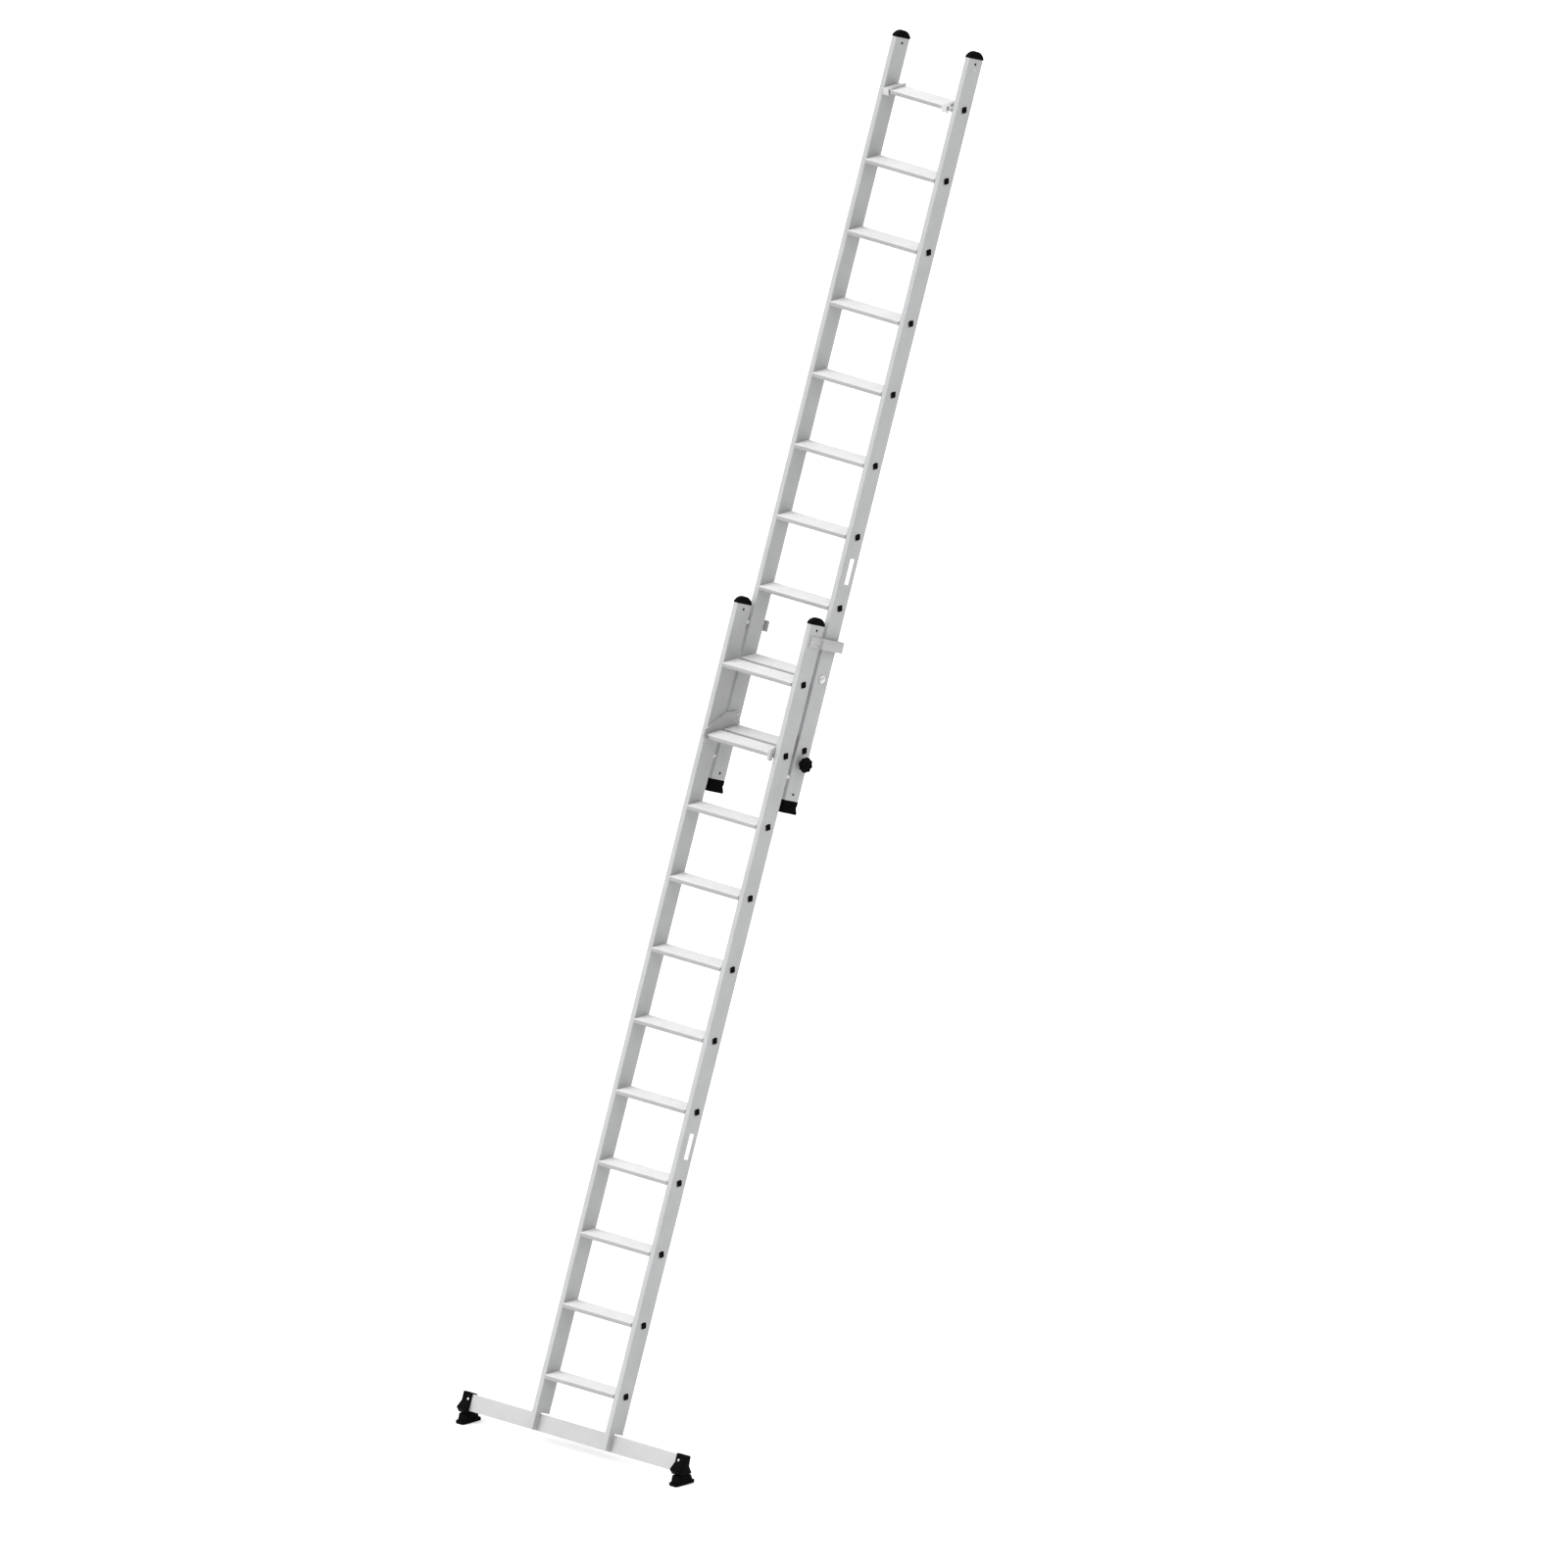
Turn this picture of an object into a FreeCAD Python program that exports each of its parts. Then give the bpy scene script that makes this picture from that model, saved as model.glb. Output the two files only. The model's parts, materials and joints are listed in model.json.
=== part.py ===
"""Two-section extension ladder with flat treads, a stabiliser bar and self-levelling feet.

Millimetres. Row frame: +X across the ladder, +Y away from the climber, +Z up, floor at z = 0.
Ladder frame: x across, v through the stiles (away from the climber), u up along the stiles.
"""
import FreeCAD, Part
import Sketcher
import math
import os

Vector = FreeCAD.Vector
Rotation = FreeCAD.Rotation
Placement = FreeCAD.Placement

# name, value, what it is
SIZES = [
    ("lean", 70, "angle between the stiles and the floor, degrees"),
    ("foot_height", 50, "floor to the lower end of the lower stiles' centre line"),
    ("footprint_mid", 981.5, "distance from the foot end to the middle of the footprint"),
    ("stile_wide", 25, "stile, across the ladder"),
    ("stile_deep", 77.5, "stile, through the ladder"),
    ("stile_wall", 1.8, "stile wall"),
    ("stile_round", 4, "stile outer corner radius"),
    ("stile_bore_round", 2.2, "stile inner corner radius"),
    ("stile_mid", 197.5, "ladder centre to stile centre"),
    ("lower_long", 3250, "lower stile length"),
    ("upper_start", 2573, "upper stile's lower end, along the ladder"),
    ("upper_long", 2917, "upper stile length"),
    ("upper_back", 94, "lower stile centre to upper stile centre, through the ladder"),
    ("tread_pitch", 280, "tread to tread along the stiles"),
    ("lower_first", 217, "first lower tread, along the ladder"),
    ("upper_first", 2771, "first upper tread, along the ladder"),
    ("tread_deep", 84, "tread, front to back"),
    ("tread_top", 12.8, "tread surface above the tread tube's centre, level with the tube"),
    ("tread_plate", 3, "tread surface thickness"),
    ("tread_lip", 18, "height of the tread's front and back lips"),
    ("tread_lip_wall", 5.5, "thickness of the lips"),
    ("tread_lip_round", 6, "outer radius of the lips, above"),
    ("tread_lip_under", 3.5, "outer radius of the lips, below"),
    ("tube_side", 25.6, "square tread tube, outside"),
    ("tube_bore", 22.6, "square tread tube, inside"),
    ("tube_slot", 26, "square hole in a stile for a tread tube"),
    ("rim_side", 29.5, "flared rim of the tread tube"),
    ("rim_thick", 1.2, "thickness of the flared rim"),
    ("plug_side", 22.2, "plug in a tread tube's end"),
    ("plug_long", 12, "length of a plug"),
    ("plug_round", 5.5, "corner radius of a plug"),
    ("plug_flange", 25.4, "plug's flange over the rim"),
    ("plug_proud", 0.9, "thickness of that flange"),
    ("cap_high", 29, "height of a stile's domed end cap"),
    ("cap_shoulder", 8, "height of the cap's straight sides"),
    ("cap_over", 0.6, "overhang of the cap over the stile"),
    ("insert_wide", 20.8, "part of a cap or foot inside the stile, across"),
    ("insert_deep", 73.2, "part of a cap or foot inside the stile, through"),
    ("insert_long", 34, "depth of that part"),
    ("insert_round", 2.6, "corner radius of that part"),
    ("cap_screw_down", 20, "cap screw below the stile's end"),
    ("foot_screw_up", 25, "rubber foot screw above the stile's end"),
    ("screw_shank", 2, "plastic-part screw, shank radius"),
    ("screw_head", 5, "plastic-part screw, head radius"),
    ("screw_head_high", 2.2, "plastic-part screw, head height"),
    ("screw_long", 9, "plastic-part screw, shank length"),
    ("hole_clear", 0.12, "radial clearance of a fastener in its hole"),
    ("rubber_high", 50, "height of an upper stile's rubber foot"),
    ("bracket_start", 3163, "guide bracket's lower edge, along the ladder"),
    ("bracket_wide", 43, "guide bracket strap width"),
    ("strap", 4, "guide bracket strap thickness"),
    ("strap_gap", 0.2, "guide bracket to the stile's outer face"),
    ("bracket_front", -22, "front end of the bracket's leg"),
    ("bracket_jog", 41, "where the strap steps out"),
    ("bracket_out", 18, "inside of the strap to the stile's outer face"),
    ("bracket_back", 145.3, "inside of the strap's back"),
    ("bracket_lip_end", 175, "ladder centre to the end of the strap's lip"),
    ("strap_bend", 3, "inside bend radius of the strap"),
    ("glide_radius", 8, "glide stud radius"),
    ("glide_stem", 4, "glide stud stem radius"),
    ("glide_clear", 0.4, "gap between a glide stud and the stile that slides on it"),
    ("lower_glide_up", 3185, "glide studs on the lower stiles"),
    ("upper_glide_up", 2661, "glide studs on the upper stiles"),
    ("rivet_shank", 3, "rivet shank radius"),
    ("rivet_head", 5.2, "rivet head radius"),
    ("rivet_head_high", 2.4, "rivet head height"),
    ("rivet_tail", 0.5, "rivet shank beyond the wall that it holds"),
    ("hook_thick", 6, "hook plate thickness"),
    ("hook_nose", 13, "width of the hook's nose"),
    ("hook_gap", 0.5, "hook plate to the stile's inner face"),
    ("hook_rest", 0.3, "hook plate above the tread that it rests on"),
    ("stop_radius", 9.5, "stop bolt dome radius"),
    ("stop_washer", 15.5, "stop bolt flange radius"),
    ("bar_high", 66, "stabiliser bar, along the stiles"),
    ("bar_low", -2, "stabiliser bar's lower edge"),
    ("bar_deep", 20, "stabiliser bar, through the ladder"),
    ("bar_wall", 2, "stabiliser bar wall"),
    ("bar_round", 3, "stabiliser bar corner radius"),
    ("bar_half", 592, "half of the stabiliser bar's length"),
    ("notch_high", 69, "cut in the lower stile's foot for the bar"),
    ("notch_clear", 0.3, "gap between the cut stile and the bar"),
    ("bolt_shank", 3, "bar and housing bolt shank radius"),
    ("bolt_head", 6, "bar bolt head radius"),
    ("bolt_head_high", 4.5, "bar bolt head height"),
    ("cross_up", 29, "cross bolt in the lower stile's foot, along the ladder"),
    ("cross_front", -24, "cross bolt, through the ladder"),
    ("block_wide", 20.8, "clamp block inside the stile's foot"),
    ("housing_mid", 575, "ladder centre to foot centre"),
    ("housing_wide", 48, "foot housing, across"),
    ("housing_top", 69, "foot housing's top, along the ladder"),
    ("housing_half", 13.5, "half of the housing's depth"),
    ("housing_cover", 5, "housing's outer end wall"),
    ("housing_round", 3, "rounding of the housing's top and nose"),
    ("nose_start", 33, "where the housing's nose starts, along the ladder"),
    ("nose_y", -30, "tip of the nose, back from the foot end"),
    ("nose_z", 13, "tip of the nose, up from the foot end"),
    ("chin_y", -18, "chin under the nose, back from the foot end"),
    ("heel_start", 30, "where the housing's heel starts, along the ladder"),
    ("heel_step", 5, "how far the heel has grown there"),
    ("heel_y", 40.7, "lower end of the heel, back from the foot end"),
    ("socket_clear", 0.2, "gap between the bar and the housing"),
    ("housing_bolt_in", 8, "housing bolt, inwards from the foot's centre"),
    ("housing_bolt_up", 42, "housing bolt, along the ladder"),
    ("joint_y", 8, "foot joint, back from the foot end"),
    ("joint_z", -20, "foot joint, up from the foot end"),
    ("joint_pin", 3.5, "foot joint trunnion radius"),
    ("joint_bore", 3.56, "foot joint bore radius"),
    ("cheek_radius", 7, "radius of the housing's cheeks about the joint"),
    ("cheek_in", 9, "inside of a cheek to the foot's centre"),
    ("cheek_thick", 6, "thickness of a cheek"),
    ("shoe_wide", 43, "shoe, across"),
    ("shoe_long", 102, "shoe, front to back"),
    ("shoe_front", -40, "shoe's front edge"),
    ("shoe_thick", 8, "shoe plate thickness"),
    ("shoe_round", 8, "shoe plate corner radius"),
    ("sole_thick", 4, "rubber sole thickness"),
    ("shoe_body", 41, "width of the shoe's body"),
    ("boot_front", -26, "shoe body's front at the plate, back from the foot end"),
    ("boot_back", 50, "shoe body's rear at the plate"),
    ("boot_top_front", -18.5, "shoe body's front at its top"),
    ("boot_top_back", 41, "shoe body's rear at its top"),
    ("cross_long", 34, "length of the trunnions from front to back"),
    ("cross_block", 12, "side of the block in the middle of the cross"),
    ("shoe_cavity", 33, "inside width of the shoe's body about the joint"),
    ("shoe_cavity_long", 21, "length of that space"),
    ("shoe_peak", -11.7, "top of the shoe's body, up from the foot end"),
    ("shoe_slope", 3.4, "fall of that top to the front and rear, degrees"),
    ("housing_under", -9.5, "underside of the housing, up from the foot end"),
    ("housing_slope", 2.6, "rise of that underside to the front and rear, degrees"),
    ("knob_up", 2720, "lock knob's axis, along the ladder"),
    ("knob_radius", 30, "lock knob radius"),
    ("knob_thick", 20, "lock knob grip thickness"),
    ("knob_hub", 12, "lock knob hub radius"),
    ("knob_lobe_cut", 6, "radius of the hollows between the knob's lobes"),
    ("knob_out", 37, "knob's outer face to the stile's outer face"),
    ("stud_radius", 5, "lock stud radius"),
    ("claw_thick", 5, "lock claw thickness"),
    ("claw_gap", 0.8, "lock claw to the stile's inner face"),
    ("clip_wide", 29, "top tread clip's front lip, across"),
    ("clip_sheet", 2.5, "top tread clip's sheet thickness"),
    ("clip_rib", 12, "height of the clip's rib above the tread"),
    ("clip_reach", 6, "how far the clip stands out in front of the tread"),
    ("clip_low", -10.5, "clip's lower edge, up from the tread tube's centre"),
]

LOWER_TREADS = 11
UPPER_TREADS = 10
KNOB_LOBES = 8
STOP_TREAD = 2
LEFT = -1
RIGHT = 1
SIDES = [("left", LEFT), ("right", RIGHT)]

doc = FreeCAD.newDocument("ExtensionLadder")
sheet = doc.addObject("Spreadsheet::Sheet", "Sizes")
for row, (name, value, note) in enumerate(SIZES, start=1):
    sheet.set("A%d" % row, note)
    sheet.set("B%d" % row, str(value))
    sheet.setAlias("B%d" % row, name)
doc.recompute()

parts = {}


def size(name):
    """The sheet's value of one named size."""
    return float(getattr(sheet, name))


def formula(text):
    """A formula in the sheet's names, ready for setExpression."""
    words = text
    for name in sorted((row[0] for row in SIZES), key=len, reverse=True):
        words = words.replace("$" + name, "Sizes." + name)
    return words


def value_of(text):
    """The number that a formula in the sheet's names gives now."""
    return float(sheet.evalExpression(formula(text)))


# The ladder frame, which leans away from the climber about the foot end.
LEAN_BACK = 90 - size("lean")
COS = math.cos(math.radians(size("lean")))
SIN = math.sin(math.radians(size("lean")))
FOOT_END = Vector(0, -size("footprint_mid"), size("foot_height"))
LADDER = Placement(FOOT_END, Rotation(Vector(-1, 0, 0), LEAN_BACK))


def along(x, v, u):
    """The row-frame point at ladder coordinates x, v, u."""
    return LADDER.multVec(Vector(x, v, u))


def upright(x, y, z):
    """A level placement at a point given from the foot end."""
    return Placement(FOOT_END + Vector(x, y, z), Rotation())


def leaning(x, v=0, u=0):
    """A placement in line with the stiles."""
    return LADDER.multiply(Placement(Vector(x, v, u), Rotation()))


# ---------------------------------------------------------------- modelling helpers

def new_body(name):
    body = doc.addObject("PartDesign::Body", name)
    body.Label = name
    return body


def origin_feature(body, role):
    return [item for item in body.Origin.OriginFeatures if item.Role == role][0]


def new_sketch(body, plane, offset="0"):
    """A sketch on one of the body's own planes, moved along its normal by a formula."""
    sketch = body.newObject("Sketcher::SketchObject", body.Name + "_sketch")
    sketch.AttachmentSupport = [(origin_feature(body, plane), "")]
    sketch.MapMode = "FlatFace"
    if offset != "0":
        sketch.setExpression("AttachmentOffset.Base.z", formula(offset))
    return sketch


def add_polygon(sketch, corners):
    """A closed outline whose corners are pairs of formulas."""
    first = sketch.GeometryCount
    points = [Vector(value_of(a), value_of(b), 0) for a, b in corners]
    count = len(points)
    for i in range(count):
        sketch.addGeometry(Part.LineSegment(points[i], points[(i + 1) % count]), False)
    for i in range(count):
        after = first + (i + 1) % count
        sketch.addConstraint(Sketcher.Constraint("Coincident", first + i, 2, after, 1))
    for i in range(count):
        across = Sketcher.Constraint("DistanceX", -1, 1, first + i, 1, points[i].x)
        sketch.setExpression("Constraints[%d]" % sketch.addConstraint(across), formula(corners[i][0]))
        upwards = Sketcher.Constraint("DistanceY", -1, 1, first + i, 1, points[i].y)
        sketch.setExpression("Constraints[%d]" % sketch.addConstraint(upwards), formula(corners[i][1]))


def add_rectangle(sketch, left, right, low, high):
    add_polygon(sketch, [(left, low), (right, low), (right, high), (left, high)])


def add_circle(sketch, across, upwards, radius):
    centre = Vector(value_of(across), value_of(upwards), 0)
    circle = sketch.addGeometry(Part.Circle(centre, Vector(0, 0, 1), value_of(radius)), False)
    bound = [
        (Sketcher.Constraint("DistanceX", -1, 1, circle, 3, centre.x), across),
        (Sketcher.Constraint("DistanceY", -1, 1, circle, 3, centre.y), upwards),
        (Sketcher.Constraint("Radius", circle, value_of(radius)), radius),
    ]
    for constraint, text in bound:
        sketch.setExpression("Constraints[%d]" % sketch.addConstraint(constraint), formula(text))


def pad(sketch, length, middle=True, backwards=False):
    body = sketch.getParentGeoFeatureGroup()
    feature = body.newObject("PartDesign::Pad", body.Name + "_pad")
    feature.Profile = sketch
    feature.setExpression("Length", formula(length))
    feature.Midplane = middle
    feature.Reversed = backwards
    sketch.Visibility = False
    return feature


def pocket(sketch, length="", middle=False, backwards=False):
    """A cut that goes right through when no length is given."""
    body = sketch.getParentGeoFeatureGroup()
    feature = body.newObject("PartDesign::Pocket", body.Name + "_pocket")
    feature.Profile = sketch
    if length:
        feature.setExpression("Length", formula(length))
    else:
        feature.Type = "ThroughAll"
    feature.Midplane = middle
    feature.Reversed = backwards
    before = feature.BaseFeature
    doc.recompute()
    if before is not None and feature.Shape.Volume >= before.Shape.Volume:
        raise RuntimeError("nothing was cut in " + body.Name)
    return feature


def round_edges(body, radius, wanted):
    """Round the tip's straight edges for which wanted(middle, direction) is true."""
    doc.recompute()
    base = body.Tip
    names = []
    for number, edge in enumerate(base.Shape.Edges, start=1):
        if not isinstance(edge.Curve, Part.Line):
            continue
        ends = [vertex.Point for vertex in edge.Vertexes]
        middle = (ends[0] + ends[1]) * 0.5
        direction = (ends[1] - ends[0]).normalize()
        if wanted(middle, direction):
            names.append("Edge%d" % number)
    feature = body.newObject("PartDesign::Fillet", body.Name + "_fillet")
    feature.Base = (base, names)
    feature.setExpression("Radius", formula(radius))
    return feature


def keep(name, item, placement):
    """Register a finished sub-part and put it in its place."""
    doc.recompute()
    item.Label = name
    item.Placement = placement
    parts[name] = item


def keep_group(name, shapes):
    """A group of identical separate solids as one sub-part."""
    item = doc.addObject("Part::Feature", name)
    item.Shape = Part.makeCompound(shapes)
    keep(name, item, Placement())


def copy_at(seed, placement):
    shape = seed.Shape.copy()
    shape.Placement = placement
    return shape


# ---------------------------------------------------------------- stiles

def tread_slot(first):
    """The corners of a level square in the stile's side, at the first tread."""
    half = "$tube_slot / 2"
    corners = []
    for a, b in [(-1, -1), (1, -1), (1, 1), (-1, 1)]:
        across = "(%d * sin($lean) - %d * cos($lean)) * %s" % (a, b, half)
        upwards = "%s + (%d * cos($lean) + %d * sin($lean)) * %s" % (first, a, b, half)
        corners.append((across, upwards))
    return corners


def make_stile(name, length, first_tread, treads):
    """A rounded box section with a row of square tread holes."""
    body = new_body(name)
    section = new_sketch(body, "XY_Plane")
    add_rectangle(section, "-$stile_wide / 2", "$stile_wide / 2", "-$stile_deep / 2", "$stile_deep / 2")
    bore_wide = "($stile_wide / 2 - $stile_wall)"
    bore_deep = "($stile_deep / 2 - $stile_wall)"
    add_rectangle(section, "-" + bore_wide, bore_wide, "-" + bore_deep, bore_deep)
    pad(section, length, middle=False)
    wide = size("stile_wide") / 2

    def outer(middle, direction):
        return abs(direction.z) > 0.99 and abs(abs(middle.x) - wide) < 0.01

    def inner(middle, direction):
        return abs(direction.z) > 0.99 and abs(middle.x) < wide - 1 and middle.z > 1

    round_edges(body, "$stile_round", outer)
    round_edges(body, "$stile_bore_round", inner)
    doc.recompute()
    slot = new_sketch(body, "YZ_Plane")
    add_polygon(slot, tread_slot(first_tread))
    cut = pocket(slot, middle=True)
    row = body.newObject("PartDesign::LinearPattern", name + "_tread_holes")
    row.Originals = [cut]
    row.Direction = (origin_feature(body, "Z_Axis"), [""])
    row.setExpression("Length", formula("%d * $tread_pitch" % (treads - 1)))
    row.Occurrences = treads
    body.Tip = row
    doc.recompute()
    return body


def drill(body, plane, circles, middle=False, backwards=False):
    sketch = new_sketch(body, plane)
    for across, upwards, radius in circles:
        add_circle(sketch, across, upwards, radius)
    pocket(sketch, middle=middle, backwards=backwards)


SCREW_HOLE = "$screw_shank + $hole_clear"
RIVET_HOLE = "$rivet_shank + $hole_clear"
BOLT_HOLE = "$bolt_shank + $hole_clear"
STUD_HOLE = "$stud_radius + $hole_clear"
GLIDE_HOLE = "$glide_stem + $hole_clear"

# Guide bracket rivets, in the lower stile's outer wall: v and u.
BRACKET_RIVETS = [(-9, 3184.5), (22, 3184.5)]

# Hook plate rivets, in the upper stile's inner wall: v and u in the ladder frame.
HOOK_RIVETS = [(100.7, 2834), (114.9, 2814), (89.6, 2808)]
HOOK_RIVETS_STILE = [("%g - $upper_back" % v, "%g - $upper_start" % u) for v, u in HOOK_RIVETS]

# Small rivet under the upper right stile's cap, in its outer wall: v and u in the stile.
TOP_RIVET = (5, 2877)

for side_name, side in SIDES:
    stile = make_stile("lower_stile_" + side_name, "$lower_long", "$lower_first", LOWER_TREADS)
    notch = new_sketch(stile, "YZ_Plane")
    add_rectangle(notch, "-$bar_deep / 2 - $notch_clear", "$stile_deep", "-$bar_high", "$notch_high")
    pocket(notch, middle=True)
    drill(stile, "YZ_Plane", [("0", "$lower_long - $cap_screw_down", SCREW_HOLE)], middle=True)
    drill(stile, "YZ_Plane", [("$cross_front", "$cross_up", BOLT_HOLE)])
    bracket_holes = [("%g" % v, "%g" % u, RIVET_HOLE) for v, u in BRACKET_RIVETS]
    drill(stile, "YZ_Plane", bracket_holes, backwards=(side == RIGHT))
    drill(stile, "XZ_Plane", [("0", "$lower_glide_up", GLIDE_HOLE)])
    keep("lower_stile_" + side_name, stile, leaning(side * size("stile_mid")))

for side_name, side in SIDES:
    stile = make_stile("upper_stile_" + side_name, "$upper_long", "$upper_first - $upper_start", UPPER_TREADS)
    through = [
        ("0", "$upper_long - $cap_screw_down", SCREW_HOLE),
        ("0", "$foot_screw_up", SCREW_HOLE),
    ]
    if side == RIGHT:
        through.append(("0", "$knob_up - $upper_start", STUD_HOLE))
    drill(stile, "YZ_Plane", through, middle=True)
    hook_holes = [(v, u, RIVET_HOLE) for v, u in HOOK_RIVETS_STILE]
    drill(stile, "YZ_Plane", hook_holes, backwards=(side == LEFT))
    if side == RIGHT:
        drill(stile, "YZ_Plane", [("%g" % TOP_RIVET[0], "%g" % TOP_RIVET[1], RIVET_HOLE)], backwards=True)
    drill(stile, "XZ_Plane", [("0", "$upper_glide_up - $upper_start", GLIDE_HOLE)], backwards=True)
    place = leaning(side * size("stile_mid"), size("upper_back"), size("upper_start"))
    keep("upper_stile_" + side_name, stile, place)


# ---------------------------------------------------------------- treads

def make_tread(name):
    """Flat surface with two lips, on a square tube that goes through both stiles."""
    body = new_body(name)
    section = new_sketch(body, "YZ_Plane")
    half = "$tread_deep / 2"
    inside = "($tread_deep / 2 - $tread_lip_wall)"
    tube = "$tube_side / 2"
    lip_low = "$tread_top - $tread_lip"
    under = "$tread_top - $tread_plate"
    add_polygon(section, [
        ("-" + half, "$tread_top"), ("-" + half, lip_low), ("-" + inside, lip_low), ("-" + inside, under),
        ("-" + tube, under), ("-" + tube, "-" + tube), (tube, "-" + tube), (tube, under),
        (inside, under), (inside, lip_low), (half, lip_low), (half, "$tread_top"),
    ])
    pad(section, "2 * $stile_mid - $stile_wide")
    deep = size("tread_deep") / 2

    def upper_edge(middle, direction):
        return abs(direction.x) > 0.99 and abs(abs(middle.y) - deep) < 0.01 and middle.z > 0

    def lower_edge(middle, direction):
        return abs(direction.x) > 0.99 and abs(abs(middle.y) - deep) < 0.01 and middle.z < 0

    round_edges(body, "$tread_lip_round", upper_edge)
    round_edges(body, "$tread_lip_under", lower_edge)
    ends = new_sketch(body, "YZ_Plane")
    add_rectangle(ends, "-" + tube, tube, "-" + tube, tube)
    pad(ends, "2 * $stile_mid + $stile_wide")
    rim = "$rim_side / 2"
    for backwards in (False, True):
        sign = "-" if backwards else ""
        flare = new_sketch(body, "YZ_Plane", sign + "($stile_mid + $stile_wide / 2)")
        add_rectangle(flare, "-" + rim, rim, "-" + rim, rim)
        pad(flare, "$rim_thick", middle=False, backwards=backwards)
    doc.recompute()
    bore = new_sketch(body, "YZ_Plane")
    bore_half = "$tube_bore / 2"
    add_rectangle(bore, "-" + bore_half, bore_half, "-" + bore_half, bore_half)
    pocket(bore, middle=True)
    return body


def tread_up(first, number):
    """How far along the ladder a tread is; the first is number 1."""
    return size(first) + (number - 1) * size("tread_pitch")


for number in range(1, LOWER_TREADS + 1):
    name = "lower_tread_%02d" % number
    keep(name, make_tread(name), Placement(along(0, 0, tread_up("lower_first", number)), Rotation()))

for number in range(1, UPPER_TREADS + 1):
    name = "upper_tread_%02d" % number
    centre = along(0, size("upper_back"), tread_up("upper_first", number))
    keep(name, make_tread(name), Placement(centre, Rotation()))

# Square plugs in the ends of the tread tubes. One lies along +X with its flange's back at x = 0.
plug = new_body("tread_plug_seed")
plug_outline = new_sketch(plug, "YZ_Plane")
plug_half = "$plug_side / 2"
add_rectangle(plug_outline, "-" + plug_half, plug_half, "-" + plug_half, plug_half)
pad(plug_outline, "$plug_long", middle=False, backwards=True)
doc.recompute()
plug_flange = new_sketch(plug, "YZ_Plane")
flange_half = "$plug_flange / 2"
add_rectangle(plug_flange, "-" + flange_half, flange_half, "-" + flange_half, flange_half)
pad(plug_flange, "$plug_proud", middle=False)
round_edges(plug, "$plug_round", lambda middle, direction: abs(direction.x) > 0.99)
doc.recompute()


def plug_copies(first, back, count, skipped):
    """Plugs at both ends of every tread but the one named in skipped, as side and number."""
    reach = size("stile_mid") + size("stile_wide") / 2 + size("rim_thick")
    shapes = []
    for _, side in SIDES:
        turn = Rotation(Vector(0, 0, 1), 0 if side == RIGHT else 180)
        for number in range(1, count + 1):
            if (side, number) == skipped:
                continue
            centre = along(side * reach, back, tread_up(first, number))
            shapes.append(copy_at(plug, Placement(centre, turn)))
    return shapes


keep_group("lower_tread_plugs", plug_copies("lower_first", 0, LOWER_TREADS, None))
upper_plugs = plug_copies("upper_first", size("upper_back"), UPPER_TREADS, (RIGHT, STOP_TREAD))
keep_group("upper_tread_plugs", upper_plugs)


# ---------------------------------------------------------------- end caps and rubber feet

def add_insert(body, low, high):
    """The part of a cap or rubber foot that sits inside the stile."""
    tongue = new_sketch(body, "YZ_Plane")
    add_rectangle(tongue, "-$insert_deep / 2", "$insert_deep / 2", low, high)
    pad(tongue, "$insert_wide")
    deep = size("insert_deep") / 2

    def corner(middle, direction):
        return abs(direction.z) > 0.99 and abs(abs(middle.y) - deep) < 0.01

    round_edges(body, "$insert_round", corner)
    doc.recompute()


def make_cap(name):
    """A dome over the stile's end: straight sides and an arc over the depth, level across."""
    body = new_body(name)
    dome = new_sketch(body, "YZ_Plane")
    half = size("stile_deep") / 2 + size("cap_over")
    shoulder = size("cap_shoulder")
    ends = [Vector(-half, shoulder, 0), Vector(-half, 0, 0), Vector(half, 0, 0), Vector(half, shoulder, 0)]
    dome.addGeometry(Part.Arc(ends[3], Vector(0, size("cap_high"), 0), ends[0]), False)
    for i in range(3):
        dome.addGeometry(Part.LineSegment(ends[i], ends[i + 1]), False)
    for line, after in ((0, 1), (1, 2), (2, 3), (3, 0)):
        dome.addConstraint(Sketcher.Constraint("Coincident", line, 2, after, 1))
    reach = "($stile_deep / 2 + $cap_over)"
    rise = "($cap_high - $cap_shoulder)"
    radius = "(%s^2 + %s^2) / (2 * %s)" % (reach, rise, rise)
    bound = [(Sketcher.Constraint("Radius", 0, value_of(radius)), radius)]
    spots = [(1, 1, "-" + reach, "$cap_shoulder"), (2, 1, "-" + reach, "0"),
             (3, 1, reach, "0"), (3, 2, reach, "$cap_shoulder")]
    for line, end, across, upwards in spots:
        bound.append((Sketcher.Constraint("DistanceX", -1, 1, line, end, value_of(across)), across))
        bound.append((Sketcher.Constraint("DistanceY", -1, 1, line, end, value_of(upwards)), upwards))
    for constraint, text in bound:
        dome.setExpression("Constraints[%d]" % dome.addConstraint(constraint), formula(text))
    pad(dome, "$stile_wide + 2 * $cap_over")
    doc.recompute()
    add_insert(body, "-$insert_long", "1")
    drill(body, "YZ_Plane", [("0", "-$cap_screw_down", SCREW_HOLE)], middle=True)
    return body


CAPS = [
    ("lower_cap_", 0, size("lower_long")),
    ("upper_cap_", size("upper_back"), size("upper_start") + size("upper_long")),
]
for prefix, back, top in CAPS:
    for side_name, side in SIDES:
        name = prefix + side_name
        keep(name, make_cap(name), leaning(side * size("stile_mid"), back, top))


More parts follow.
